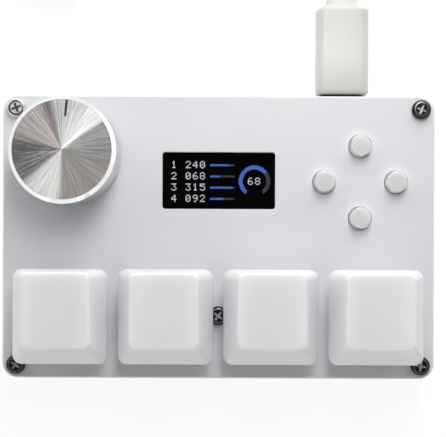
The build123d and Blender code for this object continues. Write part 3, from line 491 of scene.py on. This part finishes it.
dots = {"white": [], "blue": [], "grey": []}
for row, (text, share) in enumerate(row_texts):
    row_top = rows_top - row * row_step
    dots["white"] += write(text, rows_left, row_top)
    for column in range(bar_length):
        colour = "blue" if column < share * bar_length // bar_full else "grey"
        dots[colour] += [(bar_left + column, row_top - line) for line in bar_lines]
gauge_reach = range(-math.ceil(gauge_outer), math.ceil(gauge_outer) + 1)
for column in gauge_reach:
    for line in gauge_reach:
        turn = (math.atan2(column, line) / math.tau + 0.5) % 1.0
        if gauge_inner <= math.hypot(column, line) <= gauge_outer and gauge_start <= turn <= gauge_end:
            colour = "blue" if (turn - gauge_start) / (gauge_end - gauge_start) <= gauge_share else "grey"
            dots[colour].append((gauge_middle[0] + column, gauge_middle[1] + line))
dots["white"] += write(gauge_text, gauge_text_left, gauge_text_top)

for colour, shown, strength in (("white", (226, 232, 240), 0.85), ("blue", (66, 112, 214), 0.9),
                                ("grey", (44, 50, 66), 0.8)):
    # lit dots, whose brightness changes a little from dot to dot
    lit, spot, shader = new_material("lit_" + colour, Base_Color=grey(0.01), Roughness=0.3,
                                     Emission_Strength=strength)
    flicker = spot.into("TexNoise", Scale=1500.0)
    feed(shader, Emission_Color=flicker.tint(linear(*[channel * 0.86 for channel in shown]), linear(*shown)))
    points = [(screen_middle[0] + column * dot_pitch, screen_middle[1] + line * dot_pitch,
               glass_high[2] + dot_thickness / 2) for column, line in dots[colour]]
    readout = grown("readout_" + colour, points, block_tree, Block_Size=(dot_size, dot_size, dot_thickness),
                    Turn=0.0, Finish=lit)
    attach(readout, "base")

# ---- Top plate ----
# Sheet metal with a satin white coat, cut out for the switches, knob, screen and buttons. The coat is very
# slightly grained, and a lighter tone is painted along each cut edge as a highlight.
# the lighter edge tone is a painted highlight along the cut edges
plate_white = skinned("plate_white", (228, 229, 233), (231, 232, 236), edge_wear_and_light=(244, 245, 247),
                      gloss=(0.42, 0.34), grain=(5000.0, 0.000004), edge=0.00018)
dress(plate_white, "top_plate")

# ---- Round buttons ----
# Four clear caps with a white core, held by a flange under the plate over the tact switches. A dark ring is
# painted in patches on the rounded rim, as the shade where it bends the light away. Light passes through the
# flank, and the flank is also painted white as that light.
# the slightly darker edge tone is part of the painted dark outline of the rim
button_clear = skinned("button_clear", (212, 214, 215), (220, 222, 223), edge_wear_and_light=(205, 208, 210),
                       gloss=(0.3, 0.22), grain=(1600.0, 0.000002), tone_scale=300.0, edge=0.0001,
                       Coat_Weight=0.1, Coat_Roughness=0.08, Subsurface_Weight=0.8,
                       Subsurface_Radius=(1.0, 1.0, 1.0), Subsurface_Scale=0.003)
spot, cover, shader = coat_parts(button_clear)
upward = add(spot.tree, "NewGeometry")["Normal"].into("SeparateXYZ")["Z"]
# painted shade: a dark ring in patches on the rounded rim
rim_shade_patches = spot.into("TexNoise", Scale=420.0, Detail=1.0).ramp(0.38, 0.6, To_Min=0.3)
painted_rim_shade = upward.ramp(0.93, 0.75) * upward.ramp(0.45, 0.6) * rim_shade_patches
tone_with_painted_rim = painted_rim_shade.tint(cover["Color"], linear(40, 44, 48))
# painted light: the flank, facing sideways, is white
feed(shader, Base_Color=upward.ramp(0.45, 0.3).tint(tone_with_painted_rim, linear(255, 255, 255)))
dress(button_clear, *[f"button_cap_{side}" for side in button_sides])


# ---- Case screws ----
# Five pan head machine screws of blackened steel with a cross recess, turned down by hand, so each cross stands
# at its own angle. The one beside the knob has lost its black and is bare, and its recess is painted dark as
# shade.
def revolve(rows, segments, profile):
    """Rows of points turned about the Z axis. profile gives a row's radius and height, and its rows run from
    the top of the axis outward and down, so that the faces point outward."""
    along = segments + 1.0
    grid = add(rows.tree, "MeshGrid", Size_X=1.0, Size_Y=1.0, Vertices_X=rows, Vertices_Y=along)
    index = add(rows.tree, "InputIndex")
    row = ((index + 0.5) / along).math("FLOOR")
    turn = (index - row * along) * math.tau / segments
    radius, height = profile(row)
    placed = grid.into("SetPosition", Position=round_about(radius, turn, height))
    return placed.into("MergeByDistance", Distance=0.000001)


def follow(outline):
    """A reader of the radius and height of a row from the points of an outline, and the number of rows."""
    spot = add(outline.tree, "InputPosition")

    def read(row):
        point = outline.into("SampleIndex", data_type="FLOAT_VECTOR", Value=spot, Index=row).into("SeparateXYZ")
        return point["X"], point["Z"]
    return read, outline.into("AttributeDomainSize")["Point Count"]


def upright(outline):
    """Points of a turned piece's outline, with the radius along X and the height along Z."""
    return [(radius, 0.0, height) for radius, height in outline]


def arc(centre_radius, centre_height, radius, start_degrees, end_degrees, steps):
    """Points of an outline along a round edge, in degrees from level outward."""
    turns = [math.radians(start_degrees + (end_degrees - start_degrees) * step / steps)
             for step in range(steps + 1)]
    return [(centre_radius + radius * math.cos(turn), centre_height + radius * math.sin(turn))
            for turn in turns]


def boolean(operation, *cutters, **blank):
    """Solids joined into one, or cut out of a blank."""
    result = add(cutters[0].tree, "MeshBoolean", operation=operation, solver="EXACT", **blank)
    for cutter in cutters:
        feed(result.socket.node, Mesh_2=cutter)
    return result


head_radius, head_height, head_round, head_foot = 0.00185, 0.0013, 0.0006, 0.00008
groove_inside, groove_outside, groove_slope, groove_depth = 0.00100, 0.00115, 0.00003, 0.00006
ring_inside, ring_outside = 0.00117, 0.00150            # the lighter ring of the head, just outside its groove
shank_radius, shank_length, screw_length, tip_radius = 0.001, 0.0004, 0.006, 0.00075
thread_top, thread_turns, thread_pitch, thread_depth = -0.0005, 13, 0.0004, 0.00014
recess_length, recess_width, recess_depth = 0.0019, 0.00046, 0.0004
bare_left_of, bare_behind = -0.03, 0.02                 # the corner where the bare screw is
plate_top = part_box("top_plate")[1][2]
screw_places = [(x, y, plate_top) for x, y in ((-0.0393, 0.0249), (0.0393, 0.0249), (-0.0393, -0.0249),
                                               (0.0393, -0.0249), (0.0, -0.0153))]
outline = [(0.0, head_height), (groove_inside, head_height),
           (groove_inside + groove_slope, head_height - groove_depth),
           (groove_outside - groove_slope, head_height - groove_depth), (groove_outside, head_height)]
outline += arc(head_radius - head_round, head_height - head_round, head_round, 90, 0, 7)
outline += [(head_radius, head_foot), (head_radius - head_foot, 0.0), (shank_radius, 0.0),
            (shank_radius, -shank_length)]
for turn_number in range(thread_turns):
    height = thread_top - turn_number * thread_pitch
    outline += [(shank_radius, height), (shank_radius - thread_depth, height - thread_pitch / 2)]
outline += [(tip_radius, -screw_length), (0.0, -screw_length)]
screw_outline = point_object("screw_outline", upright(outline))

screw_tree, given = geometry_tree(
    "cross_screws", Object="Outline", Int="Segments, Seed",
    Float="Recess Length, Recess Width, Recess Depth, Head Height, Ring Inside, Ring Outside, Left Of, Behind",
    Material="Finish, Bare Finish, Ring Finish, Recess Finish, Bare Recess Finish")
read_row, row_count = follow(add(screw_tree, "ObjectInfo", Object=given["Outline"])["Geometry"])
blank = revolve(row_count, given["Segments"], read_row).into("SetMaterial", Material=given["Finish"])
spot = add(screw_tree, "InputPosition")
out_by = spot.vector("MULTIPLY", (1.0, 1.0, 0.0)).vector("LENGTH")["Value"]
on_head = spot.into("SeparateXYZ")["Z"] > 0.0
lighter_ring = (out_by > given["Ring Inside"]) * ((out_by < given["Ring Outside"]) * on_head)
blank = blank.into("SetMaterial", Material=given["Ring Finish"], Selection=lighter_ring)
bar_size = add(screw_tree, "CombineXYZ", X=given["Recess Length"], Y=given["Recess Width"],
               Z=given["Recess Depth"] * 2.0)
bar = add(screw_tree, "MeshCube", Size=bar_size)
bar_place = add(screw_tree, "CombineXYZ", Z=given["Head Height"])
bars = [bar.into("Transform", Translation=bar_place, Rotation=(0.0, 0.0, turn)) for turn in (0.0, math.pi / 2)]
cross = boolean("UNION", *bars).into("SetMaterial", Material=given["Recess Finish"])
turned_by = add(screw_tree, "RandomValue", data_type="FLOAT", Seed=given["Seed"], _2=0.0, _3=math.pi)[1]
driven = set_out(given["Geometry"], boolean("DIFFERENCE", cross, Mesh_1=blank),
                 Rotation=add(screw_tree, "CombineXYZ", Z=turned_by))
place = add(screw_tree, "InputPosition").into("SeparateXYZ")
beside_knob = (place["X"] < given["Left Of"]) * (place["Y"] > given["Behind"])
for part, bare_part in (("Finish", "Bare Finish"), ("Recess Finish", "Bare Recess Finish")):
    has_part = add(screw_tree, "MaterialSelection", Material=given[part])
    driven = driven.into("SetMaterial", Material=given[bare_part], Selection=beside_knob * has_part)
driven.into("GroupOutput")

screw_black = worked("screw_black", (24, 24, 26), (62, 62, 65), mark_height=0.000012)
screw_bare = worked("screw_bare", (196, 196, 194), (240, 240, 237), gloss=(0.62, 0.5), mark_height=0.000012)
ring_worn = worked("ring_worn", (96, 96, 98), (150, 150, 152), mark_height=0.000012)
recess_steel = worked("recess_steel", (120, 120, 122), (252, 252, 252), gloss=(0.6, 0.4), mark_height=0.00006)
# painted shade: the recess of the bare screw is a dark metal
recess_dark = worked("recess_dark", (24, 24, 26), (150, 150, 148), gloss=(0.5, 0.3), mark_height=0.00006)
screws = grown("screws", screw_places, screw_tree, Outline=screw_outline, Segments=48, Seed=11,
               Recess_Length=recess_length, Recess_Width=recess_width, Recess_Depth=recess_depth,
               Head_Height=head_height, Ring_Inside=ring_inside, Ring_Outside=ring_outside,
               Left_Of=bare_left_of, Behind=bare_behind, Finish=screw_black, Bare_Finish=screw_bare,
               Ring_Finish=ring_worn, Recess_Finish=recess_steel, Bare_Recess_Finish=recess_dark)
bpy.data.objects.remove(screw_outline)
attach(screws, "base")
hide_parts("case_screws")

# ---- Rubber feet ----
# Four black rubber discs in shallow recesses of the case floor, each moulded with grip rings underneath that
# hold the keypad in its place on a smooth table.
foot_radius, foot_top, foot_round = 0.004, 0.0016, 0.0003
grip_radii, grip_width, grip_slope, grip_depth = (0.0033, 0.0026, 0.0019, 0.0012), 0.0004, 0.0001, 0.00018
foot_x, foot_y = 0.034, 0.0195
outline = [(0.0, foot_top), (foot_radius, foot_top)]
outline += arc(foot_radius - foot_round, foot_round, foot_round, 0, -90, 5)
for radius in grip_radii:
    outline += [(radius, 0.0), (radius - grip_slope, grip_depth),
                (radius - grip_width + grip_slope, grip_depth), (radius - grip_width, 0.0)]
outline += [(0.0, 0.0)]
foot_outline = point_object("foot_outline", upright(outline))
foot_tree, given = geometry_tree("ringed_feet", Object="Outline", Int="Segments", Material="Finish")
read_row, row_count = follow(add(foot_tree, "ObjectInfo", Object=given["Outline"])["Geometry"])
discs = set_out(given["Geometry"], revolve(row_count, given["Segments"], read_row))
discs.into("SetMaterial", Material=given["Finish"]).into("GroupOutput")
rubber_black = skinned("rubber_black", (26, 26, 27), (40, 40, 42), gloss=(0.85, 0.7), grain=(4000.0, 0.00002))
foot_places = [(x, y, 0.0) for x in (-foot_x, foot_x) for y in (-foot_y, foot_y)]
feet = grown("feet", foot_places, foot_tree, Outline=foot_outline, Segments=64, Finish=rubber_black)
bpy.data.objects.remove(foot_outline)
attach(feet, "base")
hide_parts("rubber_feet")

# ---- Keycaps ----
# Four matt white moulded caps with a dished top that leans to the back. They let a little light through, and a
# lighter tone is painted along the rims as a highlight.
# the lighter edge tone is a painted highlight along the rims
keycap_white = skinned("keycap_white", (235, 236, 239), (239, 240, 243), edge_wear_and_light=(249, 249, 251),
                       gloss=(0.5, 0.4), grain=(3600.0, 0.000006), edge=0.0003, Subsurface_Weight=0.6,
                       Subsurface_Radius=(1.0, 1.0, 1.0), Subsurface_Scale=0.004)
dress(keycap_white, *[f"keycap_{number}" for number in range(1, 5)])

# ---- Knob ----
# Turned from aluminium. The tool left fine V grooves round the face, wider on the flank that faces outward,
# and it shines in wedges. The rim is polished, the side satin. A pointer is milled into the face, and a
# grub screw holds the knob on its shaft.
knob_low, knob_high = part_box("knob")
knob_x, knob_y = (knob_low[0] + knob_high[0]) / 2, (knob_low[1] + knob_high[1]) / 2
knob_bottom, knob_top = knob_low[2], knob_high[2]
knob_radius = (knob_high[0] - knob_low[0]) / 2
rim_chamfer, foot_chamfer, edge_loop = 0.00075, 0.0003, 0.00002
face_radius = knob_radius - rim_chamfer
face_grooves, groove_share, groove_depth = 74, 0.70, 0.000059      # number, share that faces outward, depth
hollow_radius, hollow_top, hollow_chamfer = 0.0045, 0.0176, 0.0002
bore_radius, bore_top = 0.003, knob_top - 0.0018
pointer_turn, pointer_reach, pointer_width, pointer_depth = math.radians(-5.8), 0.0031, 0.00045, 0.0002
grub_radius, grub_height = 0.0015, knob_bottom + 0.0086

outline = [(knob_radius, knob_top - rim_chamfer), (knob_radius, knob_top - rim_chamfer - edge_loop),
           (knob_radius, knob_bottom + foot_chamfer + edge_loop), (knob_radius, knob_bottom + foot_chamfer),
           (knob_radius - foot_chamfer, knob_bottom), (hollow_radius + hollow_chamfer, knob_bottom),
           (hollow_radius, knob_bottom + hollow_chamfer), (hollow_radius, hollow_top),
           (bore_radius, hollow_top), (bore_radius, bore_top), (0.0, bore_top)]
knob_tree, given = geometry_tree(
    "turned_knob", Int="Segments, Grooves", Vector="Place",
    Float="Outer Flank, Groove Depth, Face Radius, Face Height, Rim Height, Pointer Turn, Pointer Reach, "
          "Pointer Width, Pointer Depth, Knob Radius, Grub Radius, Grub Height",
    Material="Face Finish, Rim Finish, Side Finish, Cut Finish")
read_row, row_count = follow(given["Geometry"])
face_rows = given["Grooves"] * 2.0 + 1.0
pitch = given["Face Radius"] / given["Grooves"]


def knob_row(row):
    """A row of the face falls on a ridge or in a groove; the rows after the face follow the outline."""
    low = row.math("MODULO", 2.0)
    face_r = low.math("MULTIPLY_ADD", pitch * given["Outer Flank"], (row / 2.0).math("FLOOR") * pitch)
    face_z = given["Face Height"] - low * given["Groove Depth"]
    side_r, side_z = read_row((row - face_rows).math("MAXIMUM", 0.0))
    on_side = row > face_rows - 0.5
    return [(side - face).math("MULTIPLY_ADD", on_side, face)
            for side, face in ((side_r, face_r), (side_z, face_z))]


height = add(knob_tree, "InputPosition").into("SeparateXYZ")["Z"]
face_foot = given["Face Height"] - given["Groove Depth"] * 1.5
blank = revolve(face_rows + row_count, given["Segments"], knob_row)
blank = blank.into("SetMaterial", Material=given["Side Finish"])
blank = blank.into("SetMaterial", Material=given["Rim Finish"], Selection=height > given["Rim Height"])
blank = blank.into("SetMaterial", Material=given["Face Finish"], Selection=height > face_foot)
slot_size = add(knob_tree, "CombineXYZ", X=given["Pointer Width"], Y=given["Pointer Reach"],
                Z=given["Pointer Depth"] * 2.0)
slot_place = add(knob_tree, "CombineXYZ", Y=given["Face Radius"] - given["Pointer Reach"] / 2.0,
                 Z=given["Face Height"])
slot_cut = add(knob_tree, "MeshCube", Size=slot_size).into("Transform", Translation=slot_place)
slot_cut = slot_cut.into("Transform", Rotation=add(knob_tree, "CombineXYZ", Z=given["Pointer Turn"]))
hole = add(knob_tree, "MeshCylinder", Vertices=48, Radius=given["Grub Radius"], Depth=given["Knob Radius"])
hole_place = add(knob_tree, "CombineXYZ", Z=given["Grub Height"], Y=given["Knob Radius"] * 0.7)
hole = hole.into("Transform", Translation=hole_place, Rotation=(math.pi / 2, 0.0, 0.0))
cutters = slot_cut.into("JoinGeometry")
feed(cutters.socket.node, Geometry=hole)
milled = boolean("DIFFERENCE", cutters.into("SetMaterial", Material=given["Cut Finish"]), Mesh_1=blank)
milled.into("Transform", Translation=given["Place"]).into("RealizeInstances").into("GroupOutput")

# the turned face: fine streaks from the middle outward in its tone and surface, and specks in its gloss
knob_face, spot, shader = new_material("knob_face", Metallic=1.0)
centred = spot.into("Mapping", Location=(-knob_x, -knob_y, -knob_top))
flat = centred.vector("MULTIPLY", (1.0, 1.0, 0.0))
streak_spot = flat.vector("NORMALIZE").vector("ADD", flat.vector("SCALE", Scale=1.4))
streaks = streak_spot.into("TexNoise", Scale=80.0, Detail=3.0, Roughness=0.6)
speck = centred.into("TexNoise", Scale=5200.0, Detail=2.0)
feed(shader, Base_Color=streaks.ramp(0.40, 0.60).tint(linear(206, 205, 204), linear(252, 252, 251)),
     Roughness=speck.between(0.08, 0.14), Normal=(streaks + speck * 0.4).relief(0.000007))
knob_rim = worked("knob_rim", (236, 237, 238), (246, 247, 248), gloss=(0.14, 0.08), mark_height=0.000001)
knob_side = worked("knob_side", (196, 197, 199), (222, 223, 225), gloss=(0.3, 0.2), mark_scale=14000.0)
knob_cut = worked("knob_cut", (66, 66, 67), (96, 96, 97), gloss=(0.5, 0.4))
knob_turned = grown(
    "knob_turned", upright(outline), knob_tree, Segments=180, Grooves=face_grooves, Outer_Flank=groove_share,
    Groove_Depth=groove_depth, Face_Radius=face_radius, Face_Height=knob_top, Rim_Height=knob_top - rim_chamfer,
    Pointer_Turn=pointer_turn, Pointer_Reach=pointer_reach, Pointer_Width=pointer_width,
    Pointer_Depth=pointer_depth, Knob_Radius=knob_radius, Grub_Radius=grub_radius, Grub_Height=grub_height,
    Place=(knob_x, knob_y, 0.0), Face_Finish=knob_face, Rim_Finish=knob_rim, Side_Finish=knob_side,
    Cut_Finish=knob_cut)
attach(knob_turned, "knob_turn")
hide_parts("knob")
dress(screw_black, "knob_grub_screw")


# ---- USB-C plug ----
# A steel shell in a moulded white body with soft edges, a bevelled nose and a domed shoulder, from which a ribbed
# strain relief of the lead's own soft plastic runs out. The middle of the nose's front face is painted near
# black, and the shell is a near-black steel, as the shade in the gap at the case.
def rounded_outline(half_width, half_height, corner, steps):
    """Points round a rectangle with rounded corners, starting at the right and going up."""
    points = []
    for quarter, (side, up) in enumerate(((1, 1), (-1, 1), (-1, -1), (1, -1))):
        for step in range(steps + 1):
            turn = math.pi / 2 * (quarter + step / steps)
            points.append((side * (half_width - corner) + corner * math.cos(turn),
                           up * (half_height - corner) + corner * math.sin(turn)))
    return points


def stitch(shape, rings):
    """Faces from each ring of corners to the next."""
    for one, two in zip(rings, rings[1:]):
        for place in range(len(one)):
            after = (place + 1) % len(one)
            shape.faces.new((one[place], one[after], two[after], two[place]))


def finished(name, shape, sharp_angle, *materials):
    """The piece of a built shape, with its materials."""
    mesh = bpy.data.meshes.new(name)
    shape.to_mesh(mesh)
    shape.free()
    for material in materials:
        mesh.materials.append(material)
    tidy_mesh(mesh, sharp_angle)
    return link(name, mesh)


def lofted(name, sections, *materials):
    """A closed piece over sections, which are lists of equally many points. The first cap has the last
    material."""
    shape = bmesh.new()
    rings = [[shape.verts.new(point) for point in section] for section in sections]
    stitch(shape, rings)
    shape.faces.new(list(reversed(rings[0]))).material_index = len(materials) - 1
    shape.faces.new(rings[-1])
    return finished(name, shape, 34, *materials)


plug_low, plug_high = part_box("usb_plug_body")
plug_x, plug_z = (plug_low[0] + plug_high[0]) / 2, (plug_low[2] + plug_high[2]) / 2
plug_half_width, plug_half_height = (plug_high[0] - plug_low[0]) / 2, (plug_high[2] - plug_low[2]) / 2
neck_half_width, neck_half_height = 0.0032, 0.0027
shoulder_depth, plug_corner = 0.0011, 0.00142
nose_steps = (      # distance from the nose, inset all round, corner radius
    (0.0, 0.00170, 0.0006), (0.0, 0.00045, 0.0010), (0.0001, 0.00022, 0.0012), (0.0003, 0.00006, 0.0014),
    (0.0009, 0.0, plug_corner), (0.0080, 0.0, plug_corner), (0.0081, 0.00002, plug_corner),
    (0.0155, 0.00002, plug_corner))
shoulder_steps = (  # how far along the shoulder, and how much of the way in to the neck
    (0.0, 0.0), (0.14, 0.02), (0.24, 0.06), (0.30, 0.12), (0.48, 0.30), (0.66, 0.52), (0.84, 0.76), (1.0, 0.96))


def plug_section(depth, half_width, half_height, corner):
    """A section across the plug at a depth along it."""
    return [(plug_x + x, depth, plug_z + z) for x, z in rounded_outline(half_width, half_height, corner, 8)]


plug_sections = [plug_section(plug_low[1] + distance, plug_half_width - inset, plug_half_height - inset, corner)
                 for distance, inset, corner in nose_steps]
plug_sections += [plug_section(plug_high[1] - shoulder_depth + shoulder_depth * along,
                               plug_half_width + (neck_half_width - plug_half_width) * inward,
                               plug_half_height + (neck_half_height - plug_half_height) * inward, plug_corner)
                  for along, inward in shoulder_steps]
plug_white = skinned("plug_white", (210, 211, 205), (216, 217, 211), gloss=(0.36, 0.28),
                     grain=(2600.0, 0.000005), edge=0.0003)
# painted shade: the nose's front face, in the gap at the case
nose_dark = skinned("nose_dark", (30, 30, 29), (44, 44, 42), gloss=(0.6, 0.5), edge=0.0001)
plug_body = lofted("plug_body", plug_sections, plug_white, nose_dark)
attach(plug_body, "base")
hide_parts("usb_plug_body")
# painted shade: the plug's shell is a near-black steel, as the shade in the gap in front of the nose
dress(worked("shell_steel", (58, 59, 62), (84, 85, 88)), "usb_plug_shell")
jacket_white = skinned("jacket_white", (229, 229, 225), (234, 234, 230), gloss=(0.5, 0.42),
                       grain=(3000.0, 0.000008), edge=0.00015)
dress(jacket_white, "usb_strain_relief")

# ---- Lead ----
# A round white lead. It leaves the strain relief, comes down to the table and is wound into a flat coil
# of two layers of four turns; its end leaves the coil and comes down to the far plug.
cord_radius = 0.002
lead_points = [(0.02415, 0.05755, 0.0092), (0.02415, 0.0655, 0.0092), (0.0250, 0.0762, 0.0055),
               (0.0269, 0.0880, 0.0027), (0.0291, 0.0995, 0.00275), (0.0298, 0.1070, 0.0027)]
tail_points = [(-0.0120, 0.1376, 0.0066), (-0.0224, 0.1314, 0.0056), (-0.0302, 0.1224, 0.0042),
               (-0.0344, 0.1116, 0.0034), (-0.0352, 0.1010, 0.0040), (-0.0349, 0.0920, 0.0040)]
coil_x, coil_y = 0.002, 0.112
# for each layer, the height of its middle; where its turns start and end, from the start of the winding, and
# their radius
layers = (
    (0.0027, ((0.0, 0.8, 0.028), (1.0, 1.8, 0.024), (2.0, 2.8, 0.020), (3.0, 3.5, 0.016))),
    (0.0067, ((3.7, 4.3, 0.016), (4.5, 5.3, 0.020), (5.5, 6.3, 0.024), (6.5, 7.26, 0.028))))
winding = [(place, radius, height) for height, turns in layers for start, end, radius in turns
           for place in (start, end)]
last_turn, points_each_turn = winding[-1][0], 20


def wound(turn_number):
    """Point of the winding after some turns, easing from one row to the next."""
    for (start, radius_1, height_1), (end, radius_2, height_2) in zip(winding, winding[1:]):
        if turn_number <= end or end == last_turn:
            share = (turn_number - start) / (end - start)
            share = share * share * (3 - 2 * share)
            radius = radius_1 + (radius_2 - radius_1) * share
            height = height_1 + (height_2 - height_1) * share
            break
    angle = math.tau * turn_number
    return (coil_x + radius * math.cos(angle), coil_y + radius * math.sin(angle), height)


steps = round(last_turn * points_each_turn)
coil_points = [wound(min(last_turn * step / steps, last_turn)) for step in range(steps + 1)]
route = lead_points + coil_points + tail_points
cord_data = bpy.data.curves.new("cord", "CURVE")
cord_data.dimensions = "3D"
cord_data.bevel_depth = cord_radius
cord_data.bevel_resolution = 5
cord_data.resolution_u = 4
cord_data.use_fill_caps = True
spline = cord_data.splines.new("NURBS")
spline.points.add(len(route) - 1)
for point, spot in zip(spline.points, route):
    point.co = (*spot, 1.0)
spline.order_u = 3
spline.use_endpoint_u = True
cord = link("cord", cord_data)
cord_data.materials.append(jacket_white)
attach(cord, "base")
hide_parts("cord_lead", "cord_coil", "cord_tail")

# ---- Strap round the coil ----
# A grey hook-and-loop strap wrapped once round all the turns, with its hooked end pressed down on top.
# The woven back has a fine weave, and both edges are heat cut.
strap_thickness, strap_start, strap_arc = 0.0007, math.radians(205), math.radians(24)
bundle_half_width, bundle_half_height = 0.008, 0.004
coil_radius, coil_middle = 0.022, 0.0047
strap_steps, strap_corner, strap_edge = 10, 0.0017, 0.025
gap_outward, gap_up = 0.00004, 0.00003


def strap_point(outward, up, across):
    """A point of the strap: out from the middle of the bundle, up from it, and share of the strap's width."""
    turn = strap_start + strap_arc * across
    radius = coil_radius + outward
    return (coil_x + radius * math.cos(turn), coil_y + radius * math.sin(turn), coil_middle + up)


inner_loop = rounded_outline(bundle_half_width + gap_outward, bundle_half_height + gap_up, strap_corner, 6)
outer_loop = rounded_outline(bundle_half_width + strap_thickness, bundle_half_height + strap_thickness,
                             strap_corner + strap_thickness, 6)
shares = [strap_edge + (1 - 2 * strap_edge) * step / strap_steps for step in range(strap_steps + 1)]
band = bmesh.new()
rings = []
for inner, outer in zip(inner_loop, outer_loop):
    middle = [(one + two) / 2 for one, two in zip(inner, outer)]
    section = [(middle, 0.0), *[(outer, share) for share in shares], (middle, 1.0),
               *[(inner, 1.0 - share) for share in shares]]
    rings.append([band.verts.new(strap_point(*place, across)) for place, across in section])
stitch(band, rings + rings[:1])

# the hooked end on top: a flat tongue with a rounded tip, a little narrower than the strap
tab_thickness, tab_from, tab_to, tab_steps, tab_half = 0.0006, -0.0062, 0.0066, 14, 0.44
tip_start, tip_least, tip_thinning = 0.72, 0.02, 0.35
root_thickness, root_rise = 0.55, 4         # share of the thickness where the tab begins, and how fast it grows
tab_lift = 0.00002                          # of its underside
tab_section = ((-0.98, 0.0), (-1.0, 0.5), (-0.96, 1.0), (-0.5, 1.04), (0.0, 1.05), (0.5, 1.04), (0.96, 1.0),
               (1.0, 0.5), (0.98, 0.0))     # shares of the half width and of the thickness
tab_rings = []
for step in range(tab_steps + 1):
    share = step / tab_steps
    tip = max(0.0, (share - tip_start) / (1 - tip_start))
    half = tab_half * math.sqrt(max(tip_least, 1 - tip * tip))
    thick = tab_thickness * (1.0 - tip_thinning * tip) * min(1.0, root_thickness + share * root_rise)
    tab_rings.append([band.verts.new(strap_point(
        tab_from + (tab_to - tab_from) * share,
        bundle_half_height + strap_thickness + (thick * up if up else tab_lift), 0.5 + half * across))
        for across, up in tab_section])
stitch(band, tab_rings)
band.faces.new(list(reversed(tab_rings[0])))
band.faces.new(tab_rings[-1])

strap_cloth, spot, shader = new_material("strap_cloth", Sheen_Weight=0.3, Sheen_Roughness=0.5)
warp, weft = [spot.into("TexWave", Scale=900.0, bands_direction=way, Distortion=1.5, Detail=2.0)["Fac"]
              for way in ("X", "Y")]
pile = spot.into("TexNoise", Scale=6000.0, Detail=4.0)
weave = warp * weft + pile
feed(shader, Base_Color=(weave * 0.5).tint(linear(58, 58, 61), linear(112, 112, 116)),
     Roughness=pile.between(0.95, 0.8), Normal=weave.relief(0.00012))
coil_strap = finished("coil_strap", band, 50, strap_cloth)
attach(coil_strap, "base")
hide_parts("cord_tie")

# ---- Far plug ----
# A flat USB-A plug: a bent steel shell with two latch windows, a black block with four gilded contacts,
# and a moulded white body with soft edges, finger grooves on its flanks and a short ribbed relief.
heading = math.radians(-88.1)
far_start = Vector(tail_points[-1])
far_along = Vector((math.cos(heading), math.sin(heading), 0.0))
far_side = Vector((-math.sin(heading), math.cos(heading), 0.0))
far_half_width, far_half_height, far_relief, far_length, far_corner = 0.0078, 0.0040, 0.0050, 0.0190, 0.0016
far_shell_length, far_shell_setback = 0.0180, 0.0015
relief_steps, relief_ribs, rib_height, relief_start, relief_growth = 20, 4, 0.00022, 0.0024, 0.0008
relief_corner = 0.999       # share of its half size, so that it is all but round
body_steps = (      # distance along the plug, insets of its width and height, corner radius
    (0.00505, 0.0020, 0.0011, 0.0020), (0.0053, 0.0009, 0.0005, 0.0018), (0.0059, 0.0003, 0.00015, 0.0017),
    (0.0068, 0.0, 0.0, far_corner), (0.0090, 0.0, 0.0, far_corner))
finger_grooves, first_groove, finger_pitch = 5, 0.0098, 0.0016
finger_depth, finger_flatness = 0.0003, 0.12
finger_steps = ((0.0, 0.0), (0.0003, finger_depth), (0.0007, finger_depth), (0.001, 0.0))   # distance, inset
front = far_relief + far_length
front_steps = (     # distance before the front, inset all round, corner radius
    (0.0030, 0.0, far_corner), (0.0007, 0.0, far_corner), (0.0003, 0.00012, 0.0015), (0.0, 0.0005, 0.0012))


def far_section(distance, half_width, half_height, corner=far_corner):
    """A section across the far plug, some way from where the lead enters it."""
    middle = far_start + far_along * distance
    return [middle + far_side * x + Vector((0.0, 0.0, z))
            for x, z in rounded_outline(half_width, half_height, corner, 6)]


far_sections = []
for step in range(relief_steps + 1):        # the relief has ribs and widens toward the body
    rib = rib_height * (1 - math.cos(math.tau * step * relief_ribs / relief_steps)) / 2
    size = relief_start + relief_growth * step / relief_steps - (rib_height - rib)
    far_sections.append(far_section(far_relief * step / relief_steps, size, size, size * relief_corner))
for distance, inset_x, inset_z, corner in body_steps:
    far_sections.append(far_section(distance, far_half_width - inset_x, far_half_height - inset_z, corner))
for groove in range(finger_grooves):
    start = first_groove + groove * finger_pitch
    for distance, inset in finger_steps:
        far_sections.append(far_section(start + distance, far_half_width - inset,
                                        far_half_height - inset * finger_flatness))
for before, inset, corner in front_steps:
    far_sections.append(far_section(front - before, far_half_width - inset, far_half_height - inset, corner))
far_plug = lofted("far_plug_body", far_sections, plug_white)
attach(far_plug, "base")
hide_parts("cord_end_plug_body")
dress(steel, "cord_end_plug_shell")
dress(part_black, "cord_end_plug_insert")

contact_length, contact_width, contact_thickness, contact_setback = 0.0068, 0.0011, 0.00012, 0.0006
contact_offsets = (-0.0035, -0.0010, 0.0010, 0.0035)
contact_middle = far_start + far_along * (front + far_shell_length - far_shell_setback - contact_length / 2
                                          - contact_setback)
insert_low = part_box("cord_end_plug_insert")[0][2]
contact_points = [(*(contact_middle + far_side * offset).xy, insert_low - contact_thickness / 2)
                  for offset in contact_offsets]
contacts = grown("far_plug_contacts", contact_points, block_tree, Turn=heading, Finish=contact_gold,
                 Block_Size=(contact_length, contact_width, contact_thickness))
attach(contacts, "base")
